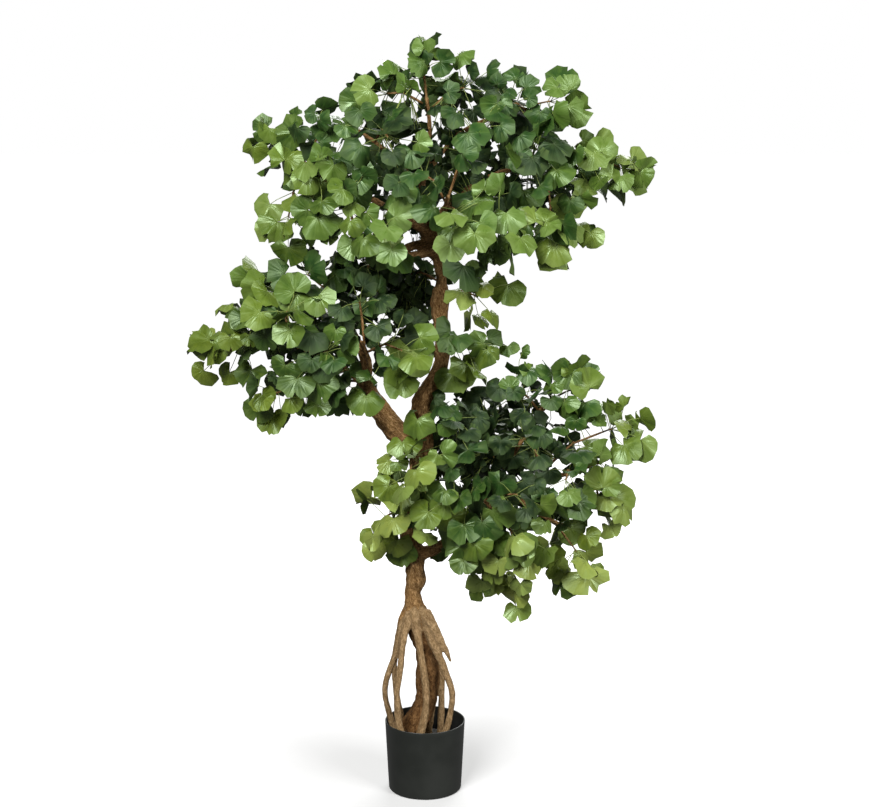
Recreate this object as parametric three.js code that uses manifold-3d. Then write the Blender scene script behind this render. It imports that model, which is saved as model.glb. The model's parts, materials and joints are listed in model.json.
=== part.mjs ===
// Ginkgo bonsai: a trunk on stilt roots, standing in a black nursery pot, with three tiers of leafy sprays.
// Millimetres, +Z up. The origin is the centre of the pot's underside, +X is to the right, -Y is the front.
import * as THREE from 'three';
import { mergeVertices } from 'three/addons/utils/BufferGeometryUtils.js';
import Module from 'manifold-3d';

const wasm = await Module();
wasm.setup();

const point = (x, y, z) => new THREE.Vector3(x, y, z);
const UP = point(0, 0, 1);

// Driving dimensions.

const GAP = 0.3; // between any two pieces that meet
const WELD = 1e-4; // corners nearer than this are one

const POT = {
  height: 142,
  rimRadius: 80,
  footRadius: 73,
  wall: 2.4,
  floor: 4,
  footRound: 3,
  lip: 1,
  sides: 30,
};

const FILLING = { top: 95, sides: 30 }; // the set ballast that holds the roots

const LEAF = {
  radius: 42, // from the stalk to the rim, for a full-grown leaf
  smallest: 0.72, // the share of that radius that the smallest leaf has
  spread: 110, // degrees from the middle line to each side edge
  notch: 0.7, // the rim's radius at the middle notch, as a share of the leaf's
  unevenTurn: 0.025, // how far a station of the rim strays round it, as a share of the spread
  unevenReach: 0.06, // how far it strays in or out, as a share of the radius
  wave: 0.1, // how far it strays up or down, as a share of the radius
  arch: 0.14, // how far the rim hangs below the middle, as a share of the radius
  thickness: 0.9,
  stalk: 46,
  unevenStalk: 0.3, // how much longer or shorter a stalk may be, as a share of its length
  stalkRadius: 0.85,
  clearance: 1.2, // free space kept round a leaf
  footShare: 0.25, // the share of a stalk that need not be clear of its own twig
  draws: 60, // draws of a leaf before it is left out
  choice: 5, // clear draws that a leaf is chosen from
};

// The corners of a stalk's end, as [to the side, towards the upper face], in shares of its radius.
const STALK_CORNERS = [[0, 1], [1, -0.5], [-1, -0.5]];

// What the direction of a blade's run is made up of, and what way its upper face looks.
const STANCE = {
  alongTwig: 0.5, // how much of a stalk's direction is that of its twig
  alongStalk: 0.5,
  leastAlongStalk: 0.35, // what a blade's run has at least of its stalk's direction
  outwards: 0.3, // away from the middle of its tier
  droop: 0.85, // straight down, at the middle of its tier
  lessDroop: 0.45, // how much less that is at the tier's top, and more at its foot
  looseRun: 0.5, // by chance, to any side
  facingAside: 0.5, // how much of the way it faces is to the tier's left or right
  facingFront: 0.5, // to the front, or to the back for a leaf that grows there
  backFrom: 0.3, // how far to the back a leaf grows that faces it
  facingUp: 0.35,
  facingHigh: 0.4, // how much more it looks up at the tier's top
  looseFacing: 0.65,
};

// The rim from one side edge to the other, each station as shares: [of the spread, of the radius, and its
// height, of the radius too].
const RIM = [
  [-1, 0.82, -0.06],
  [-0.62, 0.98, 0.06],
  [-0.25, 1, -0.05],
  [0, LEAF.notch, 0.05],
  [0.25, 1, -0.05],
  [0.62, 0.98, 0.06],
  [1, 0.82, -0.06],
];
const NOTCH_STATION = 3;

const TWIG = {
  standOff: 0.9, // between the wood and a twig's foot
  rootRadius: 2.6,
  tipRadius: 1.5,
  spurLength: 9, // the short swollen stretch that a whorl of leaves stands on
  arch: 0.12, // rise of the middle, as a share of the length
};
// Each whorl on a twig: where it stands along it, and how many leaves it bears.
const WHORLS = [
  { at: 0.55, leaves: 3 },
  { at: 0.92, leaves: 4 },
];

// The woody frame, each limb as stations of [x, y, z, radius]. It all grew together as one body.
const TRUNK = {
  stem: [
    [-31, 8, 35, 26], [-31, 8, 108, 26], [-9, 6, 150, 24], [2, 4, 182, 23], [5, 2, 216, 23], [4, 0, 258, 22],
    [0, 0, 292, 20], [-11, 0, 325, 22], [-20, 0, 356, 27], [-22, 0, 382, 21], [-24, 0, 408, 17],
    [-18, 0, 436, 21], [-21, 0, 475, 20], [-27, 0, 515, 21], [-22, 4, 565, 21], [-12, 6, 615, 22],
    [-8, 4, 674, 24], [-8, 0, 706, 26], [-6, 0, 746, 24], [0, 2, 790, 24], [13, 4, 816, 21],
    [25, 4, 840, 18],
    [33, 2, 866, 16], [36, 0, 895, 16], [33, -2, 935, 15], [29, -2, 962, 16], [29, 0, 984, 19],
    [32, 0, 1003, 17], [32, 0, 1020, 11], [33, 0, 1042, 13], [33, 2, 1068, 20], [25, 4, 1090, 18],
    [9, 4, 1112, 16], [-6, 4, 1134, 10],
  ],
  leftFork: [
    [-10, 0, 690, 22], [-44, -4, 727, 21], [-71, -8, 762, 21], [-92, -10, 795, 18], [-111, -12, 826, 15],
  ],
  rightFork: [
    [-14, 0, 484, 15], [22, 0, 496, 12], [60, 0, 524, 10], [109, 4, 570, 9], [165, 6, 604, 7.5],
    [225, 6, 632, 6],
  ],
  knot: [[-26, -8, 374, 16], [-42, -13, 352, 12], [-51, -16, 330, 6]],
};
const ROOTS = {
  left: [
    [-32, -10, 372, 12], [-46, -22, 340, 8], [-56, -30, 294, 7], [-79, -30, 222, 6.5], [-71, -26, 165, 6.5],
    [-57, -24, 108, 7], [-56, -24, 45, 7],
  ],
  leftFront: [
    [-30, -16, 366, 12], [-41, -34, 326, 8], [-48, -44, 268, 7], [-55, -48, 210, 7], [-52, -46, 154, 8],
    [-43, -44, 108, 9], [-41, -44, 45, 9],
  ],
  front: [
    [-22, -18, 372, 11], [-9, -32, 296, 8], [1, -42, 228, 8], [2, -46, 182, 8], [-6, -46, 140, 8.5],
    [-12, -46, 108, 9], [-12, -46, 45, 9],
  ],
  rightFront: [
    [-6, -12, 372, 12], [19, -22, 302, 9], [36, -26, 262, 8], [54, -30, 208, 7], [49, -30, 158, 7],
    [37, -28, 108, 7.5], [36, -28, 45, 7.5],
  ],
  right: [
    [8, -2, 330, 9], [27, 6, 286, 7], [34, 14, 228, 6.5], [33, 18, 172, 7], [31, 20, 108, 8],
    [31, 20, 45, 8],
  ],
  backRight: [
    [-8, 14, 372, 11], [10, 34, 318, 8], [22, 48, 250, 7], [20, 54, 180, 7], [8, 52, 108, 8], [8, 52, 45, 8],
  ],
  backLeft: [
    [-32, 14, 366, 11], [-50, 30, 318, 8], [-62, 42, 250, 7], [-58, 44, 180, 7], [-46, 42, 108, 8],
    [-46, 42, 45, 8],
  ],
  thorn: [
    [-4, -12, 366, 13], [12, -16, 336, 11], [26, -18, 310, 8], [38, -20, 290, 5.5], [47, -20, 270, 2.5],
  ],
};
const BRANCHES = {
  crownLeft: [[2, 4, 1120, 11], [-70, -6, 1166, 8], [-150, -16, 1206, 6.5], [-235, -22, 1236, 5]],
  crownStub: [
    [22, 0, 1092, 13], [-18, -8, 1094, 11], [-46, -22, 1086, 9], [-90, -60, 1096, 6], [-135, -95, 1120, 4.5],
  ],
  crownTop: [[-2, 4, 1124, 10], [-4, 10, 1210, 8], [10, 10, 1300, 6.5], [4, 4, 1372, 5]],
  crownRight: [
    [2, 2, 1118, 10], [62, -4, 1186, 8], [145, -8, 1232, 7], [240, -8, 1250, 6], [325, -4, 1256, 4.5],
  ],
  crownUpperRight: [[0, 10, 1226, 6.5], [62, 12, 1300, 6], [130, 8, 1334, 5], [200, 2, 1346, 4]],
  crownUpperLeft: [[-4, 8, 1196, 7], [-60, 0, 1262, 6], [-125, -8, 1312, 4.5]],
  crownFront: [[14, -6, 1106, 10], [34, -90, 1158, 7], [44, -150, 1196, 5]],
  crownBack: [[0, 12, 1122, 10], [-6, 90, 1184, 7], [-2, 165, 1222, 5]],
  leftLow: [[-108, -12, 818, 10], [-168, -24, 868, 7.5], [-236, -30, 896, 6], [-318, -28, 908, 4.5]],
  leftHigh: [[-104, -10, 816, 10], [-128, -12, 900, 7], [-168, -14, 968, 5.5], [-196, -14, 1010, 4.5]],
  leftFront: [[-110, -20, 820, 8], [-104, -76, 878, 6], [-118, -120, 926, 4.5]],
  leftBack: [[-108, -2, 820, 8], [-124, 62, 884, 6], [-148, 108, 930, 4.5]],
  rightFar: [[215, 6, 628, 6.5], [290, 0, 650, 5.5], [360, -6, 678, 4.5]],
  rightHigh: [[112, 4, 570, 8], [156, 18, 650, 6.5], [200, 20, 724, 5.5], [232, 16, 780, 4.5]],
  rightFront: [[100, -2, 560, 8], [126, -70, 588, 6.5], [150, -126, 610, 5]],
  rightBack: [[118, 10, 576, 8], [134, 76, 616, 6], [150, 128, 650, 4.5]],
  rightLow: [[170, 0, 606, 6.5], [222, -30, 574, 5.5], [270, -42, 552, 4.5]],
};
// Each kind of limb: how many sides it has, and how deep its flutes are as a share of its radius.
const LIMB_KINDS = [
  { limbs: TRUNK, sides: 7, flutes: 0.07 },
  { limbs: ROOTS, sides: 5, flutes: 0 },
  { limbs: BRANCHES, sides: 4, flutes: 0 },
];
const FLUTES = { count: 3, wind: 14 }; // wind is in radians, from one end of a limb to the other

// Each tier of foliage: its middle, from which its leaves face outwards, half its height, and the seed of
// its first spray.
const TIERS = {
  crown: { centre: point(30, 0, 1230), halfHeight: 220, seed: 1240 },
  left: { centre: point(-190, 0, 910), halfHeight: 150, seed: 2440 },
  right: { centre: point(150, 0, 640), halfHeight: 200, seed: 3440 },
};

// Where the bark shows through the foliage from the front, as [x, z, radius].
const BARE_PLACES = [[-14, 1100, 44], [36, 1060, 30]];

const BUDS = {
  spacing: 12, // between the places along a limb that a twig can spring from
  offset: 0.8, // how far along its own stretch of the limb such a place lies
  lowest: 560, // the bare stem below this height bears none
  leastTwig: 50,
};

// Each spray's tip, as [x, y, z], and its shade of green. Its twig springs from the nearest free bud.
const SPRAYS = {
  crown: [
    [[-3, 0, 1422], 'light'], [[-72, -40, 1378], 'light'], [[75, -30, 1390], 'dark'],
    [[160, -30, 1360], 'dark'], [[248, 0, 1364], 'light'], [[-198, -50, 1300], 'dark'],
    [[-272, 0, 1276], 'light'], [[-65, -150, 1300], 'dark'], [[95, -125, 1310], 'dark'],
    [[200, -110, 1265], 'dark'], [[280, -50, 1265], 'light'], [[372, 0, 1240], 'light'],
    [[-195, -105, 1228], 'light'], [[-254, -70, 1150], 'light'], [[-145, -150, 1187], 'light'],
    [[-74, -170, 1134], 'light'], [[0, -195, 1235], 'dark'], [[64, -190, 1155], 'light'],
    [[144, -150, 1142], 'light'], [[240, -70, 1132], 'light'], [[-190, 105, 1225], 'dark'],
    [[5, 180, 1235], 'dark'], [[205, 110, 1255], 'light'],
  ],
  left: [
    [[-398, 0, 878], 'light'], [[-334, -40, 962], 'light'], [[-288, 10, 1010], 'light'],
    [[-222, -45, 1042], 'light'], [[-110, 10, 1050], 'dark'], [[-255, -115, 980], 'light'],
    [[-120, -125, 1000], 'dark'], [[-180, -120, 905], 'light'], [[-292, -25, 806], 'dark'],
    [[-174, -65, 842], 'light'], [[-40, -125, 906], 'light'], [[98, -40, 1000], 'light'],
    [[84, -55, 910], 'dark'], [[-180, 125, 950], 'dark'], [[-36, 70, 1028], 'dark'],
  ],
  right: [
    [[-80, -60, 572], 'light'], [[-28, -105, 664], 'light'], [[58, -70, 768], 'dark'],
    [[180, -20, 810], 'dark'], [[282, 0, 812], 'light'], [[372, 0, 736], 'light'],
    [[318, -50, 698], 'light'], [[185, -120, 740], 'dark'], [[54, -115, 624], 'light'],
    [[94, -95, 554], 'dark'], [[175, -160, 640], 'dark'], [[268, -110, 658], 'light'],
    [[172, -110, 538], 'light'], [[296, -45, 500], 'light'], [[152, -50, 458], 'light'],
    [[340, -30, 596], 'light'], [[170, 120, 680], 'dark'], [[120, 20, 745], 'dark'],
  ],
};

// A closed three.js geometry as a solid that can be joined and cut.
function solidOf(geometry) {
  const bare = geometry.clone();
  bare.deleteAttribute('normal');
  bare.deleteAttribute('uv');
  const merged = mergeVertices(bare, WELD);
  return new wasm.Manifold(new wasm.Mesh({
    numProp: 3,
    vertProperties: merged.attributes.position.array,
    triVerts: new Uint32Array(merged.index.array),
  }));
}

function geometryOf(solid) {
  const { vertProperties, triVerts } = solid.getMesh();
  const geometry = new THREE.BufferGeometry();
  geometry.setAttribute('position', new THREE.BufferAttribute(vertProperties, 3));
  geometry.setIndex(new THREE.BufferAttribute(triVerts, 1));
  geometry.computeVertexNormals();
  return geometry;
}

const joined = (solids) => solids.reduce((whole, piece) => whole.add(piece));

// The largest body of a solid, without any hollow that its joining sealed and any scrap that came loose.
const mainBody = (solid) => solid.decompose()
  .reduce((best, body) => (body.volume() > best.volume() ? body : best));

// The same draws every run: a small multiply-and-shift generator.
function seededRandom(seed) {
  let state = seed >>> 0;
  return () => {
    state = (state + 0x6d2b79f5) >>> 0;
    let t = Math.imul(state ^ (state >>> 15), state | 1);
    t ^= t + Math.imul(t ^ (t >>> 7), t | 61);
    return ((t ^ (t >>> 14)) >>> 0) / 4294967296;
  };
}

// A profile of [radius, height] turned about the Z axis.
function turned(profile, sides) {
  const points = profile.map(([radius, height]) => new THREE.Vector2(radius, height));
  return new THREE.LatheGeometry(points, sides).rotateX(Math.PI / 2);
}

function potGeometry() {
  const { height, rimRadius, footRadius, wall, floor, footRound, lip, sides } = POT;
  return turned([
    [0, 0],
    [footRadius - footRound, 0],
    [footRadius, footRound],
    [rimRadius, height - lip],
    [rimRadius - lip, height],
    [rimRadius - wall, height],
    [footRadius - wall, floor],
    [0, floor],
  ], sides);
}

function fillingGeometry() {
  const innerRadius = (height) => {
    const share = (height - POT.floor) / (POT.height - POT.floor);
    return THREE.MathUtils.lerp(POT.footRadius, POT.rimRadius, share) - POT.wall - GAP;
  };
  const bottom = POT.floor + GAP;
  return turned([
    [0, bottom],
    [innerRadius(bottom), bottom],
    [innerRadius(FILLING.top), FILLING.top],
    [0, FILLING.top],
  ], FILLING.sides);
}

// The curve through a limb's stations, with its radius at any share of the way.
function limbPath(stations) {
  const path = new THREE.CatmullRomCurve3(stations.map(([x, y, z]) => point(x, y, z)));
  const girth = new THREE.CatmullRomCurve3(stations.map(([, , , radius]) => point(radius, 0, 0)));
  return { path, radiusAt: (share) => girth.getPoint(share).x };
}

// Places along a curve, each with a direction and two sides square to it that never spin.
function framesAlong(path, shares) {
  const { x, z } = path.getTangent(0);
  let side = Math.abs(x) < Math.abs(z) ? point(1, 0, 0) : point(0, 0, 1);
  return shares.map((share) => {
    const along = path.getTangent(share);
    side = side.clone().addScaledVector(along, -side.dot(along)).normalize();
    return { at: path.getPoint(share), along, side, back: along.clone().cross(side) };
  });
}

// A cylinder bent along a limb's stations, with a few flutes that wind slowly round it.
function limbSolid(stations, { sides, flutes }, extra) {
  const { path, radiusAt } = limbPath(stations);
  const steps = stations.length - 1;
  const shares = Array.from({ length: steps + 1 }, (_, i) => i / steps);
  const frames = framesAlong(path, shares);
  const geometry = new THREE.CylinderGeometry(1, 1, 1, sides, steps);
  const places = geometry.attributes.position;
  for (let i = 0; i < places.count; i++) {
    const share = places.getY(i) + 0.5;
    const { at, side, back } = frames[Math.round(share * steps)];
    const angle = Math.atan2(places.getZ(i), places.getX(i));
    const fluting = 1 + flutes * Math.cos(FLUTES.count * angle + share * FLUTES.wind);
    const reach = Math.hypot(places.getX(i), places.getZ(i)) * (radiusAt(share) * fluting + extra);
    const moved = at.clone()
      .addScaledVector(side, Math.cos(angle) * reach)
      .addScaledVector(back, -Math.sin(angle) * reach);
    places.setXYZ(i, moved.x, moved.y, moved.z);
  }
  return solidOf(geometry);
}

// The whole woody frame as one body, swollen by extra.
function wood(extra) {
  return mainBody(joined(LIMB_KINDS.flatMap((kind) =>
    Object.values(kind.limbs).map((stations) => limbSolid(stations, kind, extra)))));
}

// The wood with some clearance round it, and a ball that holds it.
function roomOfWood(extra) {
  const solid = wood(extra);
  const geometry = geometryOf(solid);
  geometry.computeBoundingSphere();
  return { solid, ball: geometry.boundingSphere };
}

// Whether the straight line between two ends passes through a triangle.
function meets(start, end, [a, b, c]) {
  const ray = new THREE.Ray(start, end.clone().sub(start).normalize());
  const hit = ray.intersectTriangle(a, b, c, false, point(0, 0, 0));
  return hit !== null && hit.distanceTo(start) < end.distanceTo(start);
}

// A closed skin of triangles that grows: any triangle can be drawn out into a three-sided stalk, and the
// end of a stalk can be opened into a blade.
class Skin {
  points = [];
  faces = [];

  add(place) {
    return this.points.push(place) - 1;
  }

  middle(face) {
    return face.reduce((sum, i) => sum.add(this.points[i]), point(0, 0, 0)).divideScalar(3);
  }

  normal(face) {
    const [a, b, c] = face.map((i) => this.points[i]);
    return b.clone().sub(a).cross(c.clone().sub(a)).normalize();
  }

  // Closes the skin behind three new points and returns them as the face to grow from.
  start(places) {
    const [a, b, c] = places.map((place) => this.add(place));
    this.faces.push([a, c, b]);
    return [a, b, c];
  }

  // Draws a face out to three places, which turn the same way round, and returns the face there.
  stretch(face, places) {
    const from = this.middle(face);
    const to = places.reduce((sum, place) => sum.clone().add(place)).divideScalar(3);
    const twist = (turn) => face.reduce((sum, corner, k) =>
      sum + this.points[corner].clone().sub(from).normalize()
        .dot(places[(k + turn) % 3].clone().sub(to).normalize()), 0);
    const best = [0, 1, 2].reduce((chosen, turn) => (twist(turn) > twist(chosen) ? turn : chosen));
    const added = places.map((place) => this.add(place));
    const end = face.map((_, k) => added[(k + best) % 3]);
    for (let k = 0; k < 3; k++) {
      const next = (k + 1) % 3;
      this.faces.push([face[k], face[next], end[next]], [face[k], end[next], end[k]]);
    }
    return added;
  }

  // Opens the end of a stalk, given as its top, +side and -side corners, into a fan-shaped blade.
  openBlade([top, plus, minus], upper, lower) {
    const above = upper.map((place) => this.add(place));
    const below = lower.map((place) => this.add(place));
    const last = above.length - 1;
    for (let i = 0; i < last; i++) {
      this.faces.push([top, above[i + 1], above[i]]);
      this.faces.push([i < NOTCH_STATION ? minus : plus, below[i], below[i + 1]]);
      this.faces.push([above[i + 1], below[i + 1], below[i]], [above[i + 1], below[i], above[i]]);
    }
    this.faces.push([minus, below[NOTCH_STATION], plus]);
    this.faces.push([above[last], top, plus], [above[last], plus, below[last]]);
    this.faces.push([top, above[0], below[0]], [top, below[0], minus]);
  }

  // A copy of the skin that has a leaf grown from one of its faces.
  withLeaf(leaf) {
    const grown = new Skin();
    grown.points = [...this.points];
    grown.faces = this.faces.filter((face) => face !== leaf.face.corners);
    growLeaf(grown, leaf.face.corners, leaf);
    return grown;
  }

  // Whether a face from the given one on passes through any other.
  crossesFrom(first) {
    const corners = this.faces.map((face) => face.map((i) => this.points[i]));
    const boxes = corners.map((places) => new THREE.Box3().setFromPoints(places));
    // The edges of one face that have no end on the other, against that other.
    const pierces = (one, other) => [0, 1, 2].some((k) => {
      const ends = [this.faces[one][k], this.faces[one][(k + 1) % 3]];
      if (ends.some((end) => this.faces[other].includes(end))) return false;
      return meets(this.points[ends[0]], this.points[ends[1]], corners[other]);
    });
    for (let i = first; i < this.faces.length; i++) {
      for (let j = 0; j < i; j++) {
        if (boxes[i].intersectsBox(boxes[j]) && (pierces(i, j) || pierces(j, i))) return true;
      }
    }
    return false;
  }

  geometry() {
    const geometry = new THREE.BufferGeometry().setFromPoints(this.points);
    return geometry.setIndex(this.faces.flat());
  }
}

// Three places round a spot, square to a direction and turning about it.
function ring({ at, side, back }, radius) {
  return [0, 1, 2].map((k) => {
    const angle = (k * 2 * Math.PI) / 3;
    return at.clone()
      .addScaledVector(side, Math.cos(angle) * radius)
      .addScaledVector(back, Math.sin(angle) * radius);
  });
}

// A number from -1 to 1, and a direction with three of them.
const either = (random) => 2 * random() - 1;
const loose = (amount, random) =>
  point(either(random), either(random), either(random)).multiplyScalar(amount);

// Draws a leaf's stance: where its stalk ends, which way its blade runs and faces, and how its rim waves.
// Most blades hang from their stalks and lie flat to the front or the back, the sides that the tree shows.
function drawLeaf(root, heading, outwards, droop, random) {
  const size = THREE.MathUtils.lerp(LEAF.smallest, 1, Math.sqrt(random()));
  const stalk = LEAF.stalk * size * (1 + LEAF.unevenStalk * either(random));
  const base = root.clone().addScaledVector(heading, stalk);
  const along = heading.clone()
    .multiplyScalar(STANCE.alongStalk)
    .addScaledVector(outwards, STANCE.outwards)
    .addScaledVector(UP, -droop)
    .add(loose(STANCE.looseRun, random))
    .normalize();
  along.addScaledVector(heading, Math.max(0, STANCE.leastAlongStalk - along.dot(heading))).normalize();
  const front = outwards.y > STANCE.backFrom ? STANCE.facingFront : -STANCE.facingFront;
  const upwards = STANCE.facingUp + STANCE.facingHigh * outwards.z;
  const facing = point(STANCE.facingAside * outwards.x, outwards.y + front, upwards)
    .add(loose(STANCE.looseFacing, random));
  const normal = facing.addScaledVector(along, -facing.dot(along)).normalize();
  const sideways = along.clone().cross(normal);
  const radius = LEAF.radius * size;
  const rim = RIM.map(([turn, reach, height]) => {
    const angle = THREE.MathUtils.degToRad(LEAF.spread) * (turn + LEAF.unevenTurn * either(random));
    const distance = radius * reach * (1 + LEAF.unevenReach * either(random));
    const hang = (LEAF.arch * (1 - Math.cos(angle))) / 2;
    const lift = radius * (height + LEAF.wave * either(random) - hang);
    return base.clone()
      .addScaledVector(sideways, Math.sin(angle) * distance)
      .addScaledVector(along, Math.cos(angle) * distance)
      .addScaledVector(normal, lift);
  });
  return { root, base, normal, sideways, rim, middle: base.clone().addScaledVector(along, radius / 2) };
}

// Grows a leaf from a face of the skin: its stalk, then its blade.
function growLeaf(skin, face, leaf, extra = 0) {
  const { base, normal, sideways, rim } = leaf;
  const reach = LEAF.stalkRadius + extra;
  const end = skin.stretch(face, STALK_CORNERS.map(([across, lift]) => base.clone()
    .addScaledVector(sideways, across * reach)
    .addScaledVector(normal, lift * reach)));
  const half = LEAF.thickness / 2 + extra;
  const raised = (distance) => rim.map((place) => place.clone().addScaledVector(normal, distance));
  skin.openBlade(end, raised(half), raised(-half));
}

// The room that a leaf takes, from three places at its foot, as a solid with its clearance round it.
function roomFrom(foot, leaf) {
  const skin = new Skin();
  growLeaf(skin, skin.start(foot), leaf, LEAF.clearance);
  return withBounds(skin);
}

const wholeRoom = (leaf) => roomFrom(leaf.face.places, leaf);

// The same without the foot of the stalk, which can't be clear of the leaf's own twig.
function looseRoom(leaf) {
  const { root, base, normal } = leaf;
  const along = base.clone().sub(root).normalize();
  const at = root.clone().lerp(base, LEAF.footShare);
  const foot = { at, side: normal, back: along.clone().cross(normal) };
  return roomFrom(ring(foot, LEAF.stalkRadius + LEAF.clearance), leaf);
}

function withBounds(skin) {
  return { solid: solidOf(skin.geometry()), ball: new THREE.Sphere().setFromPoints(skin.points) };
}

const touches = (a, b) => a.ball.intersectsSphere(b.ball) && !a.solid.intersect(b.solid).isEmpty();

// Where a line from outer to inner meets the bark.
function barkBetween(outer, inner) {
  const [hit] = new THREE.Raycaster(outer, inner.clone().sub(outer).normalize()).intersectObject(bark);
  return hit ? hit.point : inner;
}

// A spray's twig, as a skin that starts on the bark and has, at each whorl, the faces that leaves can grow
// from.
function growTwig(from, tip, extra = 0) {
  const span = tip.clone().sub(from);
  const bend = from.clone().lerp(tip, 0.5).addScaledVector(UP, 2 * TWIG.arch * span.length());
  const path = new THREE.QuadraticBezierCurve3(from, bend, tip);
  const spur = TWIG.spurLength / span.length();
  const shares = [0, ...WHORLS.flatMap(({ at }) => [at, Math.min(at + spur, 1)])];
  const frames = framesAlong(path, shares);
  const radiusAt = (share) => THREE.MathUtils.lerp(TWIG.rootRadius, TWIG.tipRadius, share) + extra;
  const skin = new Skin();
  const firstRing = ring(frames[1], radiusAt(shares[1]));
  const root = ring(frames[0], radiusAt(0)).map((inner, k) => barkBetween(firstRing[k], inner));
  let end = skin.start(root);
  const whorls = WHORLS.map(({ leaves }, w) => {
    const foot = 2 * w + 1;
    end = skin.stretch(end, ring(frames[foot], radiusAt(shares[foot])));
    const before = skin.faces.length;
    end = skin.stretch(end, ring(frames[foot + 1], radiusAt(shares[foot + 1])));
    if (w === WHORLS.length - 1) skin.faces.push(end);
    const free = skin.faces.slice(before).map((corners) => ({
      corners,
      places: corners.map((corner) => skin.points[corner]),
      middle: skin.middle(corners),
      normal: skin.normal(corners),
    }));
    return { leaves, at: frames[foot + 1].at, along: frames[foot + 1].along, free };
  });
  return { skin, whorls };
}

// One draw of a leaf at a whorl: the face of the twig that it grows from, and its stance.
function drawAt(whorl, tier, random) {
  const outwards = whorl.at.clone().sub(tier.centre).normalize();
  const height = THREE.MathUtils.clamp((whorl.at.z - tier.centre.z) / tier.halfHeight, -1, 1);
  const aim = whorl.along.clone().multiplyScalar(STANCE.alongTwig).add(loose(1, random)).normalize();
  const face = whorl.free
    .reduce((best, other) => (other.normal.dot(aim) > best.normal.dot(aim) ? other : best));
  const heading = face.normal.clone().add(aim).normalize();
  const leaf = drawLeaf(face.middle, heading, outwards, STANCE.droop - STANCE.lessDroop * height, random);
  return { face, ...leaf };
}

// Whether a leaf would hide a place where the bark shows.
const hidesBark = ({ middle: { x, y, z } }) =>
  y < 0 && BARE_PLACES.some(([bareX, bareZ, radius]) => Math.hypot(x - bareX, z - bareZ) < radius);

// Grows a spray's leaves one after another. Each is drawn until a few draws are clear of all that is in
// their way, and takes the one of those with the most room between it and the leaves that are there.
function growSpray({ from, tip, tier, random }, ownTwig, others, middles) {
  const { skin: twig, whorls } = growTwig(from, tip);
  let skin = twig;
  const own = [ownTwig];
  const leaves = [];
  const blocked = (leaf) => {
    const loose = looseRoom(leaf);
    const whole = wholeRoom(leaf);
    return hidesBark(leaf)
      || own.some((other) => touches(loose, other))
      || others.some((other) => touches(whole, other));
  };
  const spareRoom = (leaf) => Math.min(...middles.map((middle) => middle.distanceTo(leaf.middle)));
  for (const whorl of whorls) {
    for (let k = 0; k < whorl.leaves; k++) {
      const clear = [];
      for (let draw = 0; draw < LEAF.draws && clear.length < LEAF.choice; draw++) {
        const leaf = drawAt(whorl, tier, random);
        const keeps = skin.faces.length - 1;
        if (!skin.withLeaf(leaf).crossesFrom(keeps) && !blocked(leaf)) clear.push(leaf);
      }
      if (!clear.length) continue;
      const leaf = clear.reduce((best, other) => (spareRoom(other) > spareRoom(best) ? other : best));
      own.push(looseRoom(leaf));
      leaves.push(leaf);
      middles.push(leaf.middle);
      whorl.free.splice(whorl.free.indexOf(leaf.face), 1);
      skin = skin.withLeaf(leaf);
    }
  }
  return { solid: solidOf(skin.geometry()), rooms: leaves.map(wholeRoom) };
}

// The places that a twig can spring from: points all along the limbs that bear leaves.
function buds() {
  return Object.values({ ...TRUNK, ...BRANCHES }).flatMap((stations) => {
    const { path } = limbPath(stations);
    const count = Math.floor(path.getLength() / BUDS.spacing);
    return Array.from({ length: count }, (_, i) => path.getPointAt((i + BUDS.offset) / count));
  }).filter(({ z }) => z > BUDS.lowest);
}

// Gives each spray the nearest free bud from which its twig is clear of the limbs and of the twigs before
// it.
function springFrom(sprays, limbs) {
  const free = buds();
  const twigs = [];
  return sprays.map((spray) => {
    const distance = (bud) => bud.distanceTo(spray.tip);
    const nearest = free
      .filter((bud) => distance(bud) > BUDS.leastTwig)
      .sort((a, b) => distance(a) - distance(b));
    const twigFrom = (bud, extra) => withBounds(growTwig(bud, spray.tip, extra).skin);
    const from = nearest.find((bud) => !touches(twigFrom(bud, 0), limbs)
      && !twigs.some((twig) => touches(twig, twigFrom(bud, LEAF.clearance))));
    free.splice(free.indexOf(from), 1);
    twigs.push(twigFrom(from, LEAF.clearance));
    return { ...spray, from };
  });
}

const MATERIALS = {
  pot: new THREE.MeshStandardMaterial({ color: 0x26282a, roughness: 0.5, metalness: 0 }),
  filling: new THREE.MeshStandardMaterial({ color: 0x8d8b86, roughness: 0.95, metalness: 0 }),
  bark: new THREE.MeshStandardMaterial({ color: 0x6b4a30, roughness: 0.9, metalness: 0 }),
  light: new THREE.MeshStandardMaterial({ color: 0x6f8f3a, roughness: 0.5, metalness: 0 }),
  dark: new THREE.MeshStandardMaterial({ color: 0x35573a, roughness: 0.45, metalness: 0 }),
};

const tree = new THREE.Group();

function addPiece(name, geometry, material) {
  const mesh = new THREE.Mesh(geometry, material);
  mesh.name = name;
  tree.add(mesh);
}

addPiece('pot', potGeometry(), MATERIALS.pot);
addPiece('filling', geometryOf(solidOf(fillingGeometry()).subtract(wood(GAP))), MATERIALS.filling);
addPiece('trunk', geometryOf(wood(0)), MATERIALS.bark);

// The surface that the twigs start on, a little proud of the wood so that their flat ends stay clear of it.
const bark = new THREE.Mesh(geometryOf(wood(TWIG.standOff)), MATERIALS.bark);

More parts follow.
